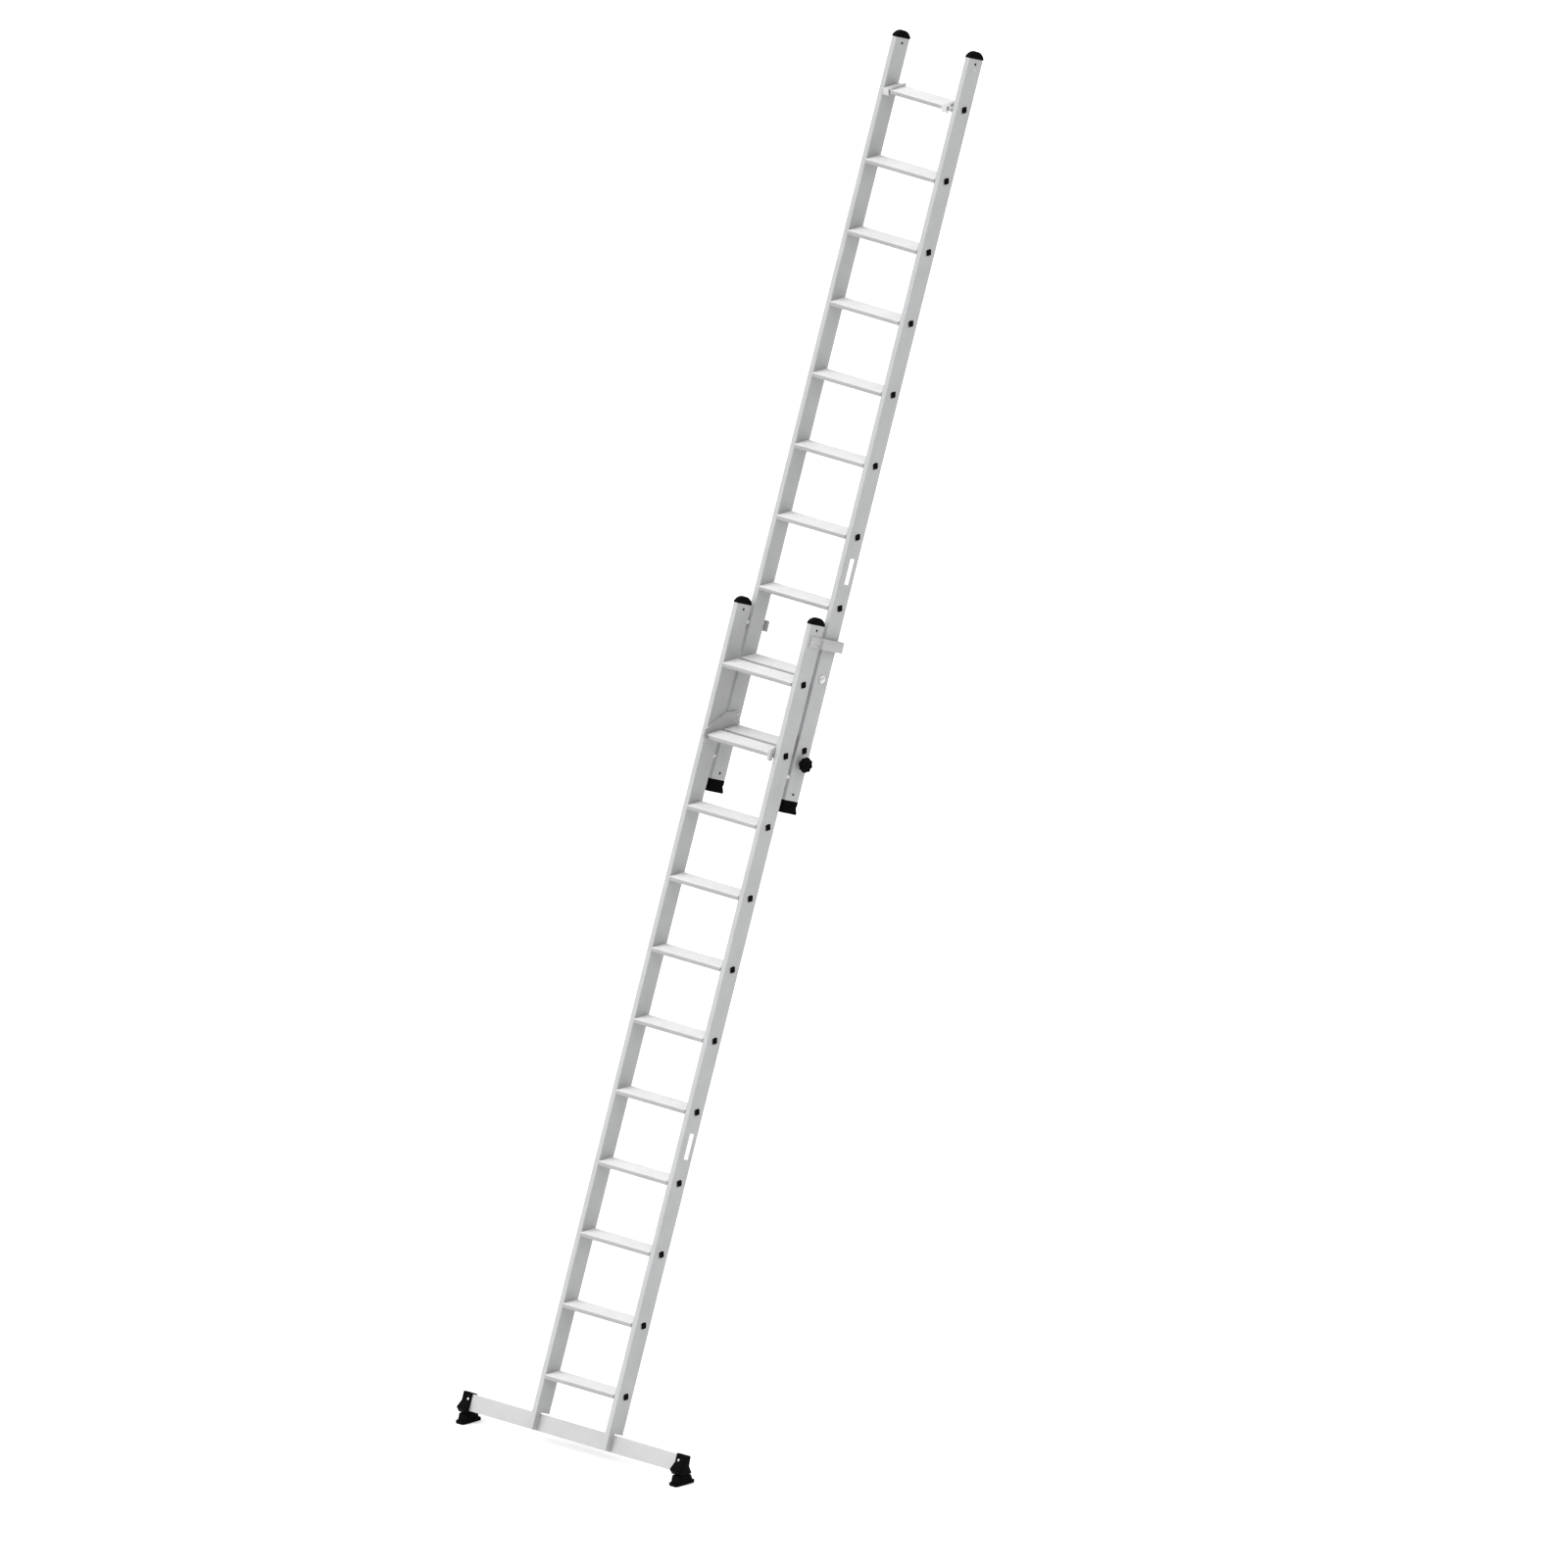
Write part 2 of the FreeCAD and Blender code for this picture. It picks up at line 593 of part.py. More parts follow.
def make_rubber_foot(name):
    """A ribbed block under the upper stile, wider at its heel, with a notch behind."""
    body = new_body(name)
    outline = new_sketch(body, "YZ_Plane")
    half = "$stile_deep / 2"
    add_polygon(outline, [
        ("-%s" % half, "0"), ("-%s - 1" % half, "-0.8 * $rubber_high"), ("-%s - 1" % half, "-$rubber_high"),
        (half + " + 6", "-$rubber_high"), (half + " + 8", "-0.88 * $rubber_high"),
        (half + " - 3", "-0.44 * $rubber_high"), (half + " + 0.8", "-0.34 * $rubber_high"), (half, "0"),
    ])
    pad(outline, "$stile_wide")
    doc.recompute()
    for level in (0.16, 0.58, 0.74, 0.9):
        for backwards in (False, True):
            sign = "-" if backwards else ""
            groove = new_sketch(body, "YZ_Plane", sign + "($stile_wide / 2 - 1)")
            low = "-%g * $rubber_high - 1" % level
            high = "-%g * $rubber_high + 1" % level
            add_rectangle(groove, "-$stile_deep", "$stile_deep", low, high)
            pocket(groove, "3", backwards=not backwards)
    add_insert(body, "-1", "$insert_long + 5")
    drill(body, "YZ_Plane", [("0", "$foot_screw_up", SCREW_HOLE)], middle=True)
    return body


for side_name, side in SIDES:
    name = "rubber_foot_" + side_name
    place = leaning(side * size("stile_mid"), size("upper_back"), size("upper_start"))
    keep(name, make_rubber_foot(name), place)


# ---------------------------------------------------------------- fasteners

def make_turned(name, outline):
    """A turned piece about its own X axis; outline holds pairs of formulas, x and radius."""
    body = new_body(name)
    sketch = new_sketch(body, "XY_Plane")
    add_polygon(sketch, outline)
    turn = body.newObject("PartDesign::Revolution", name + "_turn")
    turn.Profile = sketch
    turn.ReferenceAxis = (origin_feature(body, "X_Axis"), [""])
    turn.Angle = 360
    doc.recompute()
    return body


def dome_outline(shank, head, high, long):
    """Head from x = 0 outwards, shank along -X."""
    return [
        ("-(%s)" % long, "0"), ("-(%s)" % long, shank), ("0", shank), ("0", head),
        ("0.45 * (%s)" % high, "0.92 * (%s)" % head), ("0.85 * (%s)" % high, "0.6 * (%s)" % head),
        (high, "0.25 * (%s)" % head), (high, "0"),
    ]


def make_rivet(name, long):
    return make_turned(name, dome_outline("$rivet_shank", "$rivet_head", "$rivet_head_high", long))


screw_outline = dome_outline("$screw_shank", "$screw_head", "$screw_head_high", "$screw_long")
screw = make_turned("plastic_screw_seed", screw_outline)
hook_rivet = make_rivet("hook_rivet_seed", "$hook_thick + $hook_gap + $stile_wall + $rivet_tail")
strap_rivet = make_rivet("strap_rivet_seed", "$strap + $strap_gap + $stile_wall + $rivet_tail")
wall_rivet = make_rivet("wall_rivet_seed", "$stile_wall + $rivet_tail")
FACE_OUT = {RIGHT: Rotation(), LEFT: Rotation(Vector(0, 0, 1), 180)}


def ladder_copy(seed, x, v, u, side):
    """A copy whose head faces +X for side 1 and -X for side -1."""
    place = LADDER.multiply(Placement(Vector(x, v, u), FACE_OUT[side]))
    return copy_at(seed, place)


def screw_pair(v, u):
    """Screws in the outer and inner face of both stiles."""
    half = size("stile_wide") / 2
    shapes = []
    for _, side in SIDES:
        for face in (RIGHT, LEFT):
            shapes.append(ladder_copy(screw, side * size("stile_mid") + face * half, v, u, face))
    return shapes


keep_group("lower_cap_screws", screw_pair(0, size("lower_long") - size("cap_screw_down")))
upper_top = size("upper_start") + size("upper_long")
upper_screws = screw_pair(size("upper_back"), upper_top - size("cap_screw_down"))
upper_screws += screw_pair(size("upper_back"), size("upper_start") + size("foot_screw_up"))
keep_group("upper_end_screws", upper_screws)

# ---------------------------------------------------------------- guide brackets and glides

def make_bracket(name, side):
    """A strap riveted to the lower stile, which steps out and wraps behind the upper stile."""
    body = new_body(name)
    outline = new_sketch(body, "XY_Plane")
    face = "($stile_mid + $stile_wide / 2 + $strap_gap)"
    out = "($stile_mid + $stile_wide / 2 + $bracket_out)"
    path = [
        (face, "$bracket_front"), (face, "$bracket_jog"), (out, "$bracket_jog"), (out, "$bracket_back"),
        ("$bracket_lip_end", "$bracket_back"), ("$bracket_lip_end", "$bracket_back + $strap"),
        (out + " + $strap", "$bracket_back + $strap"), (out + " + $strap", "$bracket_jog - $strap"),
        (face + " + $strap", "$bracket_jog - $strap"), (face + " + $strap", "$bracket_front"),
    ]
    add_polygon(outline, [("%d * (%s)" % (side, x), v) for x, v in path])
    pad(outline, "$bracket_wide", middle=False)
    wall = size("stile_mid") + size("stile_wide") / 2
    jog = size("bracket_jog")
    back = size("bracket_back")
    strap = size("strap")
    gap = size("strap_gap")

    def inner_bend(middle, direction):
        at_jog = abs(abs(middle.x) - wall - gap - strap) < 0.1 and abs(middle.y - jog + strap) < 0.1
        at_step = abs(abs(middle.x) - wall - size("bracket_out")) < 0.1 and abs(middle.y - jog) < 0.1
        at_back = abs(abs(middle.x) - wall - size("bracket_out")) < 0.1 and abs(middle.y - back) < 0.1
        return abs(direction.z) > 0.99 and (at_jog or at_back or at_step)

    def outer_bend(middle, direction):
        far = abs(abs(middle.x) - wall - size("bracket_out") - strap) < 0.1
        at_jog = far and abs(middle.y - jog + strap) < 0.1
        at_back = far and abs(middle.y - back - strap) < 0.1
        return abs(direction.z) > 0.99 and (at_jog or at_back)

    round_edges(body, "$strap_bend", inner_bend)
    round_edges(body, "$strap_bend + $strap", outer_bend)
    holes = [("%g" % v, "%g - $bracket_start" % u, RIVET_HOLE) for v, u in BRACKET_RIVETS]
    doc.recompute()
    drill(body, "YZ_Plane", holes, middle=True)
    return body


for side_name, side in SIDES:
    name = "guide_bracket_" + side_name
    keep(name, make_bracket(name, side), leaning(0, 0, size("bracket_start")))

outer_face = size("stile_mid") + size("stile_wide") / 2
inner_face = size("stile_mid") - size("stile_wide") / 2
strap_face = outer_face + size("strap_gap") + size("strap")
rivets = []
for _, side in SIDES:
    for v, u in BRACKET_RIVETS:
        rivets.append(ladder_copy(strap_rivet, side * strap_face, v, u, side))
keep_group("guide_bracket_rivets", rivets)

gap_start = size("stile_deep") / 2
gap_end = size("upper_back") - size("stile_deep") / 2
GLIDE_END = "$upper_back - $stile_deep - $glide_clear"
glide_outline = [
    ("-$stile_wall - 3", "0"), ("-$stile_wall - 3", "$glide_stem"), ("0", "$glide_stem"),
    ("0", "$glide_radius"), (GLIDE_END + " - 1.5", "$glide_radius"),
    (GLIDE_END, "$glide_radius - 1.5"), (GLIDE_END, "0"),
]
glide = make_turned("glide_seed", glide_outline)


def glide_pair(v, u, angle):
    """Glide studs on both stiles, pointing along the ladder's depth."""
    shapes = []
    for _, side in SIDES:
        spot = Placement(Vector(side * size("stile_mid"), v, u), Rotation(Vector(0, 0, 1), angle))
        shapes.append(copy_at(glide, LADDER.multiply(spot)))
    return shapes


keep_group("lower_glide_studs", glide_pair(gap_start, size("lower_glide_up"), 90))
keep_group("upper_glide_studs", glide_pair(gap_end, size("upper_glide_up"), -90))


# ---------------------------------------------------------------- hook plates

# The lower tread that the hooks rest on; the plates are drawn from its centre.
HOOKED_TREAD = 10
hooked = along(0, 0, tread_up("lower_first", HOOKED_TREAD))


def make_hook(name, side):
    """A plate that reaches forward over the tread, with a nose in front of it."""
    body = new_body(name)
    plate = new_sketch(body, "YZ_Plane", "%d * ($stile_mid - $stile_wide / 2 - $hook_gap)" % side)
    floor = "$tread_top + $hook_rest"
    add_polygon(plate, [
        ("-61.5", "-13"), ("-46.5", "-13"), ("-46.5", floor), ("143", floor), ("143", "48"),
        ("128", "72"), ("68", "73"), ("-31", "36.5"), ("-52", "29"), ("-61.5", "19"),
    ])
    pad(plate, "$hook_thick", middle=False, backwards=(side == RIGHT))
    nose = new_sketch(body, "YZ_Plane", "%d * ($stile_mid - $stile_wide / 2 - $hook_gap)" % side)
    add_polygon(nose, [("-61.5", "-13"), ("-46.5", "-13"), ("-46.5", "29"), ("-52", "29"), ("-61.5", "19")])
    pad(nose, "$hook_nose", middle=False, backwards=(side == RIGHT))
    doc.recompute()
    holes = []
    for v, u in HOOK_RIVETS:
        spot = along(0, v, u) - hooked
        holes.append(("%.4f" % spot.y, "%.4f" % spot.z, RIVET_HOLE))
    drill(body, "YZ_Plane", holes, middle=True)
    return body


for side_name, side in SIDES:
    name = "hook_plate_" + side_name
    keep(name, make_hook(name, side), Placement(hooked, Rotation()))

rivets = []
for _, side in SIDES:
    head_x = side * (inner_face - size("hook_gap") - size("hook_thick"))
    for v, u in HOOK_RIVETS:
        rivets.append(ladder_copy(hook_rivet, head_x, v, u, -side))
top_v = size("upper_back") + TOP_RIVET[0]
rivets.append(ladder_copy(wall_rivet, outer_face, top_v, size("upper_start") + TOP_RIVET[1], RIGHT))
keep_group("upper_rivets", rivets)

# Stop bolt in the end of an upper tread tube, in place of its plug.
stop = make_turned("stop_bolt", [
    ("-22", "0"), ("-22", "6"), ("0", "6"), ("0", "$stop_washer"), ("1.6", "$stop_washer"),
    ("1.6", "$stop_radius"), ("4", "0.96 * $stop_radius"), ("6.4", "0.75 * $stop_radius"),
    ("7.8", "0.4 * $stop_radius"), ("8.2", "0"),
])
stop_x = outer_face + size("rim_thick")
keep("stop_bolt", stop, leaning(stop_x, size("upper_back"), tread_up("upper_first", STOP_TREAD)))


# ---------------------------------------------------------------- stabiliser bar

BAR_BOLT_LEVELS = (14, 50)

bar = new_body("stabiliser_bar")
bar_section = new_sketch(bar, "YZ_Plane")
add_rectangle(bar_section, "-$bar_deep / 2", "$bar_deep / 2", "$bar_low", "$bar_low + $bar_high")
add_rectangle(bar_section, "-$bar_deep / 2 + $bar_wall", "$bar_deep / 2 - $bar_wall",
              "$bar_low + $bar_wall", "$bar_low + $bar_high - $bar_wall")
pad(bar_section, "2 * $bar_half")
bar_half_deep = size("bar_deep") / 2
round_edges(bar, "$bar_round", lambda middle, direction: (
    abs(direction.x) > 0.99 and abs(abs(middle.y) - bar_half_deep) < 0.01))
doc.recompute()
bar_holes = []
for _, side in SIDES:
    for level in BAR_BOLT_LEVELS:
        bar_holes.append(("%d * $stile_mid" % side, "%g" % level, BOLT_HOLE))
    bolt_x = "%d * ($housing_mid - $housing_bolt_in)" % side
    bar_holes.append((bolt_x, "$housing_bolt_up", BOLT_HOLE))
drill(bar, "XZ_Plane", bar_holes, middle=True)
keep("stabiliser_bar", bar, leaning(0))

# A block inside each lower stile's foot, which the bar is bolted to from behind.
block = new_body("clamp_block_seed")
block_outline = new_sketch(block, "YZ_Plane")
add_rectangle(block_outline, "-$stile_deep / 2 + $stile_wall + 0.3", "-$bar_deep / 2 - 0.05", "3", "58")
pad(block_outline, "$block_wide")
block_front = -size("stile_deep") / 2 + size("stile_wall") + 0.3
round_edges(block, "$insert_round", lambda middle, direction: (
    abs(direction.z) > 0.99 and abs(middle.y - block_front) < 0.01))
doc.recompute()
drill(block, "YZ_Plane", [("$cross_front", "$cross_up", BOLT_HOLE)], middle=True)
threads = new_sketch(block, "XZ_Plane", "$bar_deep / 2")
for level in BAR_BOLT_LEVELS:
    add_circle(threads, "0", "%g" % level, BOLT_HOLE)
pocket(threads, "20", backwards=True)
doc.recompute()
blocks = [copy_at(block, leaning(side * size("stile_mid"))) for _, side in SIDES]
keep_group("bar_clamp_blocks", blocks)

cross_bolt_long = "($stile_wide + $block_wide) / 2"
cross_bolt_outline = dome_outline("$bolt_shank", "$bolt_head", "$bolt_head_high", cross_bolt_long)
cross_bolt = make_turned("cross_bolt_seed", cross_bolt_outline)
back_bolt_outline = dome_outline("$bolt_shank", "$bolt_head", "$bolt_head_high", "$bar_deep + 17")
back_bolt = make_turned("back_bolt_seed", back_bolt_outline)
BACKWARDS = Rotation(Vector(0, 0, 1), 90)
bolts = []
for _, side in SIDES:
    head_x = side * size("stile_mid") - size("stile_wide") / 2
    bolts.append(ladder_copy(cross_bolt, head_x, size("cross_front"), size("cross_up"), LEFT))
    for level in BAR_BOLT_LEVELS:
        spot = Placement(Vector(side * size("stile_mid"), bar_half_deep, level), BACKWARDS)
        bolts.append(copy_at(back_bolt, LADDER.multiply(spot)))
keep_group("bar_bolts", bolts)


# ---------------------------------------------------------------- self-levelling feet

def tilted(y, z):
    """A level point from the foot end, as formulas for v and u."""
    back = "((%s) * sin($lean) - (%s) * cos($lean))" % (y, z)
    up = "((%s) * cos($lean) + (%s) * sin($lean))" % (y, z)
    return back, up


JOINT_V, JOINT_U = tilted("$joint_y", "$joint_z")


def underside(y):
    """The housing's underside at y: lowest above the joint."""
    return "$housing_under + abs(%s - $joint_y) * tan($housing_slope)" % y


def shoe_top(y):
    """The top of the shoe's body at y: highest under the joint."""
    return "$shoe_peak - abs(%s - $joint_y) * tan($shoe_slope)" % y


def make_housing(name, side):
    """A block over the bar's end, with a nose in front, a heel behind and two cheeks below."""
    body = new_body(name)
    outline = new_sketch(body, "YZ_Plane")
    add_polygon(outline, [
        ("-$housing_half", "$housing_top"), ("-$housing_half", "$nose_start"), tilted("$nose_y", "$nose_z"),
        tilted("$chin_y", underside("$chin_y")), tilted("$joint_y", "$housing_under"),
        tilted("$heel_y", underside("$heel_y")), ("$housing_half + $heel_step", "$heel_start"),
        ("$housing_half", "$housing_top"),
    ])
    pad(outline, "$housing_wide")
    nose_v = value_of(tilted("$nose_y", "$nose_z")[0])

    def top_or_nose(middle, direction):
        at_nose = abs(middle.y - nose_v) < 0.1 and abs(direction.x) > 0.99
        return middle.z > size("housing_top") - 0.1 or at_nose

    round_edges(body, "$housing_round", top_or_nose)
    for sign in (-1, 1):
        cheek_start = "%d * $cheek_in" % sign
        cheek = new_sketch(body, "YZ_Plane", cheek_start)
        add_polygon(cheek, [
            tilted("$joint_y - $cheek_radius", "$joint_z"), tilted("$joint_y + $cheek_radius", "$joint_z"),
            tilted("$joint_y + $cheek_radius", "$housing_under + 1"),
            tilted("$joint_y - $cheek_radius", "$housing_under + 1"),
        ])
        pad(cheek, "$cheek_thick", middle=False, backwards=(sign < 0))
        boss = new_sketch(body, "YZ_Plane", cheek_start)
        add_circle(boss, JOINT_V, JOINT_U, "$cheek_radius")
        pad(boss, "$cheek_thick", middle=False, backwards=(sign < 0))
    doc.recompute()
    socket = new_sketch(body, "YZ_Plane", "%d * ($housing_wide / 2 - $housing_cover)" % side)
    add_rectangle(socket, "-$bar_deep / 2 - $socket_clear", "$bar_deep / 2 + $socket_clear",
                  "$bar_low - $socket_clear", "$bar_low + $bar_high + $socket_clear")
    pocket(socket, backwards=(side == LEFT))
    drill(body, "YZ_Plane", [(JOINT_V, JOINT_U, "$joint_bore")], middle=True)
    bolt_x = "%d * $housing_bolt_in" % -side
    drill(body, "XZ_Plane", [(bolt_x, "$housing_bolt_up", BOLT_HOLE)], middle=True)
    return body


def make_cross(name):
    """The joint's cross: one pair of trunnions across, one pair front to back."""
    body = new_body(name)
    across = new_sketch(body, "YZ_Plane")
    add_circle(across, "0", "0", "$joint_pin")
    pad(across, "2 * ($cheek_in + $cheek_thick) - 1")
    lengthways = new_sketch(body, "XZ_Plane")
    add_circle(lengthways, "0", "0", "$joint_pin")
    pad(lengthways, "$cross_long")
    centre = new_sketch(body, "YZ_Plane")
    add_rectangle(centre, "-$cross_block / 2", "$cross_block / 2", "-$cross_block / 2", "$cross_block / 2")
    pad(centre, "2 * $cheek_in - 2")
    return body


def make_shoe(name):
    """The shoe: a plate and a hollow body whose front and rear walls hold the cross."""
    body = new_body(name)
    plate = new_sketch(body, "XY_Plane", "-$foot_height + $sole_thick")
    add_rectangle(plate, "-$shoe_wide / 2", "$shoe_wide / 2", "$shoe_front", "$shoe_front + $shoe_long")
    pad(plate, "$shoe_thick", middle=False)
    round_edges(body, "$shoe_round", lambda middle, direction: abs(direction.z) > 0.99)
    doc.recompute()
    base = "-$foot_height + $sole_thick + $shoe_thick"
    boot = new_sketch(body, "YZ_Plane")
    add_polygon(boot, [
        ("$boot_front", base + " - 1"), ("$boot_back", base + " - 1"),
        ("$boot_top_back", shoe_top("$boot_top_back")), ("$joint_y", "$shoe_peak"),
        ("$boot_top_front", shoe_top("$boot_top_front")),
    ])
    pad(boot, "$shoe_body")
    doc.recompute()
    space = new_sketch(body, "YZ_Plane")
    add_rectangle(space, "$joint_y - $shoe_cavity_long / 2", "$joint_y + $shoe_cavity_long / 2", base, "0")
    pocket(space, "$shoe_cavity", middle=True)
    bore = new_sketch(body, "XZ_Plane", "-($joint_y + $cross_long / 2 + 1)")
    add_circle(bore, "0", "$joint_z", "$joint_bore")
    pocket(bore, "$cross_long + 2", backwards=True)
    return body


def make_sole(name):
    """The rubber sole under the shoe plate."""
    body = new_body(name)
    outline = new_sketch(body, "XY_Plane", "-$foot_height")
    add_rectangle(outline, "-$shoe_wide / 2", "$shoe_wide / 2", "$shoe_front", "$shoe_front + $shoe_long")
    pad(outline, "$sole_thick", middle=False)
    round_edges(body, "$shoe_round", lambda middle, direction: abs(direction.z) > 0.99)
    doc.recompute()
    return body


housing_bolt_outline = dome_outline("$bolt_shank", "$rivet_head", "$rivet_head_high", "2 * $housing_half")
housing_bolt = make_turned("housing_bolt_seed", housing_bolt_outline)
FORWARDS = Rotation(Vector(0, 0, 1), -90)
housing_bolts = []
for side_name, side in SIDES:
    centre_x = side * size("housing_mid")
    keep("foot_housing_" + side_name, make_housing("foot_housing_" + side_name, side), leaning(centre_x))
    cross_place = upright(centre_x, size("joint_y"), size("joint_z"))
    keep("foot_cross_" + side_name, make_cross("foot_cross_" + side_name), cross_place)
    keep("foot_shoe_" + side_name, make_shoe("foot_shoe_" + side_name), upright(centre_x, 0, 0))
    keep("foot_sole_" + side_name, make_sole("foot_sole_" + side_name), upright(centre_x, 0, 0))
    bolt_x = centre_x - side * size("housing_bolt_in")
    bolt_spot = Vector(bolt_x, -size("housing_half"), size("housing_bolt_up"))
    housing_bolts.append(copy_at(housing_bolt, LADDER.multiply(Placement(bolt_spot, FORWARDS))))
keep_group("foot_housing_bolts", housing_bolts)


# ---------------------------------------------------------------- lift-off lock

lock_axis = along(0, size("upper_back"), size("knob_up"))

knob = new_body("star_knob")
grip_start = "$knob_out - $knob_thick"
grip = new_sketch(knob, "YZ_Plane", grip_start)
add_circle(grip, "0", "0", "$knob_radius")
pad(grip, "$knob_thick", middle=False)
doc.recompute()
hollow = new_sketch(knob, "YZ_Plane", grip_start)
add_circle(hollow, "$knob_radius + $knob_lobe_cut / 2", "0", "$knob_lobe_cut")
lobe = pocket(hollow, "$knob_thick", backwards=True)
lobes = knob.newObject("PartDesign::PolarPattern", "star_knob_lobes")
lobes.Originals = [lobe]
lobes.Axis = (origin_feature(knob, "X_Axis"), [""])
lobes.Angle = 360
lobes.Occurrences = KNOB_LOBES
knob.Tip = lobes
doc.recompute()
hub = new_sketch(knob, "YZ_Plane", "0.5")
add_circle(hub, "0", "0", "$knob_hub")
pad(hub, "$knob_out - $knob_thick", middle=False)
doc.recompute()
thread = new_sketch(knob, "YZ_Plane", "$knob_out - 5")
add_circle(thread, "0", "0", "$stud_radius + 0.05")
pocket(thread)
keep("star_knob", knob, Placement(lock_axis + Vector(outer_face, 0, 0), Rotation()))

claw = new_body("lock_claw")
claw_face = "$stile_mid - $stile_wide / 2 - $claw_gap"
claw_outline = new_sketch(claw, "YZ_Plane", claw_face)
add_polygon(claw_outline, [
    ("-12", "-8"), ("0", "-14"), ("14", "0"), ("4", "14"),
    ("-38", "39"), ("-56", "37"), ("-56", "30"), ("-40", "23"),
])
pad(claw_outline, "$claw_thick", middle=False, backwards=True)
round_edges(claw, "2", lambda middle, direction: abs(direction.x) > 0.99)
doc.recompute()
stud = new_sketch(claw, "YZ_Plane", claw_face + " - $claw_thick + 1")
add_circle(stud, "0", "0", "$stud_radius")
pad(stud, "$stile_wide + $claw_gap + $claw_thick + $knob_out - 8", middle=False)
keep("lock_claw", claw, Placement(lock_axis, Rotation()))


# ---------------------------------------------------------------- top tread clips

clip = new_body("top_tread_clip_seed")
CLIP_UNDER = "$tread_top + 0.1"
CLIP_OVER = "$tread_top + $clip_sheet"
CLIP_CREST = "$tread_top + $clip_rib"
TREAD_FRONT = "-$tread_deep / 2"
base_plate = new_sketch(clip, "XZ_Plane")
add_polygon(base_plate, [
    ("-$clip_wide", CLIP_UNDER), ("9", CLIP_UNDER), ("9", CLIP_CREST),
    ("6", CLIP_CREST), ("6", CLIP_OVER), ("-$clip_wide", CLIP_OVER),
])
pad(base_plate, "$tread_deep - 4")
doc.recompute()
front_lip = new_sketch(clip, "YZ_Plane")
CLIP_FRONT = TREAD_FRONT + " - $clip_reach"
add_polygon(front_lip, [
    (CLIP_FRONT, CLIP_OVER), (TREAD_FRONT + " + 3", CLIP_OVER), (TREAD_FRONT + " + 3", CLIP_UNDER),
    (CLIP_FRONT + " + $clip_sheet", CLIP_UNDER), (CLIP_FRONT + " + $clip_sheet", "$clip_low + $clip_sheet"),
    (TREAD_FRONT + " + 4", "$clip_low + $clip_sheet"), (TREAD_FRONT + " + 4", "$clip_low"),
    (CLIP_FRONT, "$clip_low"),
])
pad(front_lip, "$clip_wide", middle=False, backwards=True)
doc.recompute()
top_tread = along(0, size("upper_back"), tread_up("upper_first", UPPER_TREADS))
clips = [copy_at(clip, Placement(top_tread + Vector(x, 0, 0), Rotation())) for x in (-150, 165)]
keep_group("top_tread_clips", clips)


# ---------------------------------------------------------------- checks and files

doc.recompute()
for item in doc.Objects:
    if "Invalid" in item.State or "Error" in item.State:
        raise RuntimeError("failed feature: " + item.Name)
for name, item in parts.items():
    if item.Shape.isNull() or not item.Shape.isValid() or not item.Shape.Solids:
        raise RuntimeError("bad shape: " + name)

os.makedirs("parts", exist_ok=True)
for name, item in parts.items():
    item.Shape.exportStep(os.path.join("parts", name + ".step"))
print(len(parts), "sub-parts written")
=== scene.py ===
"""Looks of the extension ladder: mesh detail, materials, floor, light and camera.

Metres, in the row frame: +X across the ladder, +Y towards the wall, +Z up, floor at z = 0.
Ladder coordinates: x across, v through the stiles (away from the climber), u up along them.
"""
import json
import math

import bpy
import bmesh
from mathutils import Matrix, Vector
from mathutils.geometry import tessellate_polygon


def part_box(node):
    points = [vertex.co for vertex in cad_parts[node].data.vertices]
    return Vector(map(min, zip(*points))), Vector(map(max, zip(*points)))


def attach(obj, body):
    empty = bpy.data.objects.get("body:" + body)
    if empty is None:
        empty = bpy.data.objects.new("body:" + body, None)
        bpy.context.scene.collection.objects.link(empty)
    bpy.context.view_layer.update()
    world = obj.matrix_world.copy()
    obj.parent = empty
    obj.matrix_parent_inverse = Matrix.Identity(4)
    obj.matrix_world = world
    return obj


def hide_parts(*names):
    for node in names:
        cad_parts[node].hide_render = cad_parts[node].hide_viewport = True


MM = 0.001
SIDES = (("left", -1), ("right", 1))

# Sizes shared with the CAD model.
STILE_MID = 197.5 * MM
STILE_WIDE = 25 * MM
STILE_DEEP = 77.5 * MM
UPPER_BACK = 94 * MM
LOWER_FIRST = 217 * MM
LOWER_LONG = 3250 * MM
UPPER_START = 2573 * MM
UPPER_LONG = 2917 * MM
TREAD_DEEP = 84 * MM
TREAD_TOP = 12.8 * MM
LIP_HIGH = 18 * MM
LIP_WALL = 5.5 * MM
LIP_ROUND = 6 * MM
LIP_UNDER = 3.5 * MM
PLATE = 3 * MM
TUBE = 25.6 * MM
BORE = 22.6 * MM
RIM = 29.5 * MM
RIM_THICK = 1.2 * MM
PLUG = 22.2 * MM
PLUG_LONG = 12 * MM
PLUG_ROUND = 5.5 * MM
PLUG_FLANGE = 25.4 * MM
PLUG_PROUD = 0.9 * MM
RUBBER_HIGH = 50 * MM
KNOB_RADIUS = 30 * MM
KNOB_OUT = 37 * MM
KNOB_THICK = 20 * MM
KNOB_HUB = 12 * MM
KNOB_LOBES = 8
FOOT_MID = 575 * MM
SHOE_WIDE = 43 * MM
SHOE_LONG = 102 * MM
SHOE_FRONT = -40 * MM
SHOE_ROUND = 8 * MM
SOLE_THICK = 4 * MM

